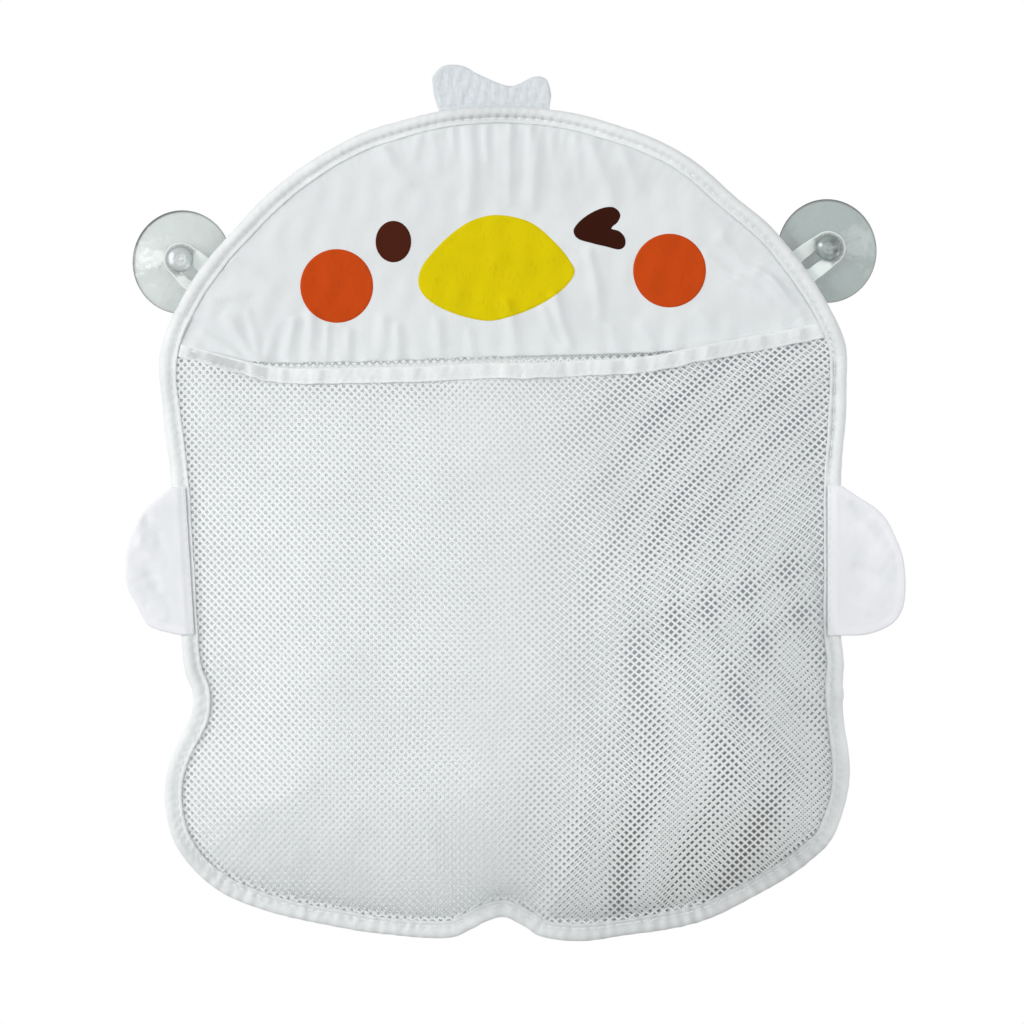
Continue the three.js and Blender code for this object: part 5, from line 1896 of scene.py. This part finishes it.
class ORGANIZER_OT_cups(Operator):
    """Adds the two suction cups, each spun from its profile"""
    bl_idname = "organizer.cups"
    bl_label = "Suction cups"

    def execute(self, context):
        for side, share, reach in (("left", LEFT_STRAP, LEFT_REACH), ("right", RIGHT_STRAP, RIGHT_REACH)):
            centre = hanger_frame(share, reach)[0]
            pick_none()
            radius, depth = CUP_PROFILE[0]
            start = ((centre[0] + radius) * MM, -depth * MM, centre[1] * MM)
            bpy.ops.mesh.primitive_plane_add(size=MM, location=start)
            piece = context.active_object
            piece.name = piece.data.name = f"{side}_cup_spun"
            bpy.ops.object.mode_set(mode="EDIT")
            bpy.ops.mesh.select_all(action="SELECT")
            bpy.ops.mesh.merge(type="CENTER")
            for (r0, d0), (r1, d1) in zip(CUP_PROFILE, CUP_PROFILE[1:]):
                move = ((r1 - r0) * MM, -(d1 - d0) * MM, 0)
                bpy.ops.mesh.extrude_region_move(TRANSFORM_OT_translate={"value": move})
            bpy.ops.mesh.select_all(action="SELECT")
            axis = (centre[0] * MM, 0, centre[1] * MM)
            bpy.ops.mesh.spin(steps=CUP_STEPS, angle=2 * math.pi, center=axis, axis=(0, 1, 0))
            bpy.ops.mesh.select_all(action="SELECT")
            bpy.ops.mesh.remove_doubles(threshold=CUP_MERGE)
            bpy.ops.mesh.normals_make_consistent(inside=False)
            bpy.ops.object.mode_set(mode="OBJECT")
            bpy.ops.object.transform_apply(location=True, rotation=True, scale=True)
            piece.data.materials.append(cup_vinyl())
            points = np.array([corner.co for corner in piece.data.vertices])
            beside, above = points[:, 0] / MM - centre[0], points[:, 2] / MM - centre[1]
            away = np.hypot(beside, above)
            points[:, 2] += (CUP_SAG[0] * above - CUP_SAG[1]) * smooth_step((away - 12) / 9) * MM
            piece.data.vertices.foreach_set("co", points.ravel())
            # Painted light on the knob: a dark ring at its edge and round its dimple, and the listed dark and
            # bright marks.
            knob = smooth_step((-points[:, 1] / MM - 11.8) / 0.3)
            marks = 0.75 * hump(away, 6.5, 0.55) + 0.3 * hump(away, 1.7, 0.35)
            for mark_x, mark_z, width, amount in KNOB_MARKS[side]:
                marks = marks + amount * hump(beside, mark_x, width) * hump(above, mark_z, width)
            # Painted dark rim line, wider and darker towards the upper left on the left cup and towards the
            # top on the right cup.
            lit = (above - beside if side == "left" else above) / np.maximum(away, 1)
            line = smooth_step((away - 24.7 + 0.3 * np.maximum(lit, 0)) / 0.45) * (0.8 + 0.2 * lit)
            add_value(piece, "rim", np.maximum(line, np.clip(knob * marks, 0, 1)))
            add_value(piece, "gleam", np.clip(-knob * marks, 0, 1))
            # Painted shade: the right cup is drawn darker than the left.
            add_value(piece, "smoke", np.full(len(points), 0.0 if side == "left" else 1.0))
            mesh_normals(piece)
            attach(piece, f"{side}_cup")
            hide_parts(f"{side}_suction_cup")
        return {"FINISHED"}


class ORGANIZER_OT_rod(Operator):
    """Gives the rod in the binding its plastic finish"""
    bl_idname = "organizer.rod"
    bl_label = "Frame rod"

    def execute(self, context):
        rod = frame["nodes"]["frame_rod"]
        rod.data.materials.clear()
        rod.data.materials.append(rod_plastic())
        return {"FINISHED"}


OPERATORS = (
    ORGANIZER_OT_stage, ORGANIZER_OT_bindings, ORGANIZER_OT_mouth, ORGANIZER_OT_nets, ORGANIZER_OT_face,
    ORGANIZER_OT_prints, ORGANIZER_OT_wings, ORGANIZER_OT_crest, ORGANIZER_OT_straps, ORGANIZER_OT_cups,
    ORGANIZER_OT_rod,
)


class ORGANIZER_PT_panel(Panel):
    bl_label = "Bath Toy Organizer"
    bl_idname = "ORGANIZER_PT_panel"
    bl_space_type = "VIEW_3D"
    bl_region_type = "UI"
    bl_category = "Bath Organizer"

    def draw(self, context):
        for group in (context.scene.organizer_sizes, context.scene.organizer_colours):
            box = self.layout.box()
            for name in group.__annotations__:
                box.prop(group, name)
        for kind in OPERATORS:
            self.layout.operator(kind.bl_idname)


CLASSES = (OrganizerSizes, OrganizerColours, *OPERATORS, ORGANIZER_PT_panel)


def register():
    for kind in CLASSES:
        bpy.utils.register_class(kind)
    bpy.types.Scene.organizer_sizes = PointerProperty(type=OrganizerSizes)
    bpy.types.Scene.organizer_colours = PointerProperty(type=OrganizerColours)


def unregister():
    del bpy.types.Scene.organizer_colours
    del bpy.types.Scene.organizer_sizes
    for kind in reversed(CLASSES):
        bpy.utils.unregister_class(kind)


def main():
    register()
    for kind in OPERATORS:
        group, name = kind.bl_idname.split(".")
        getattr(getattr(bpy.ops, group), name)()


if __name__ == "__main__":
    main()
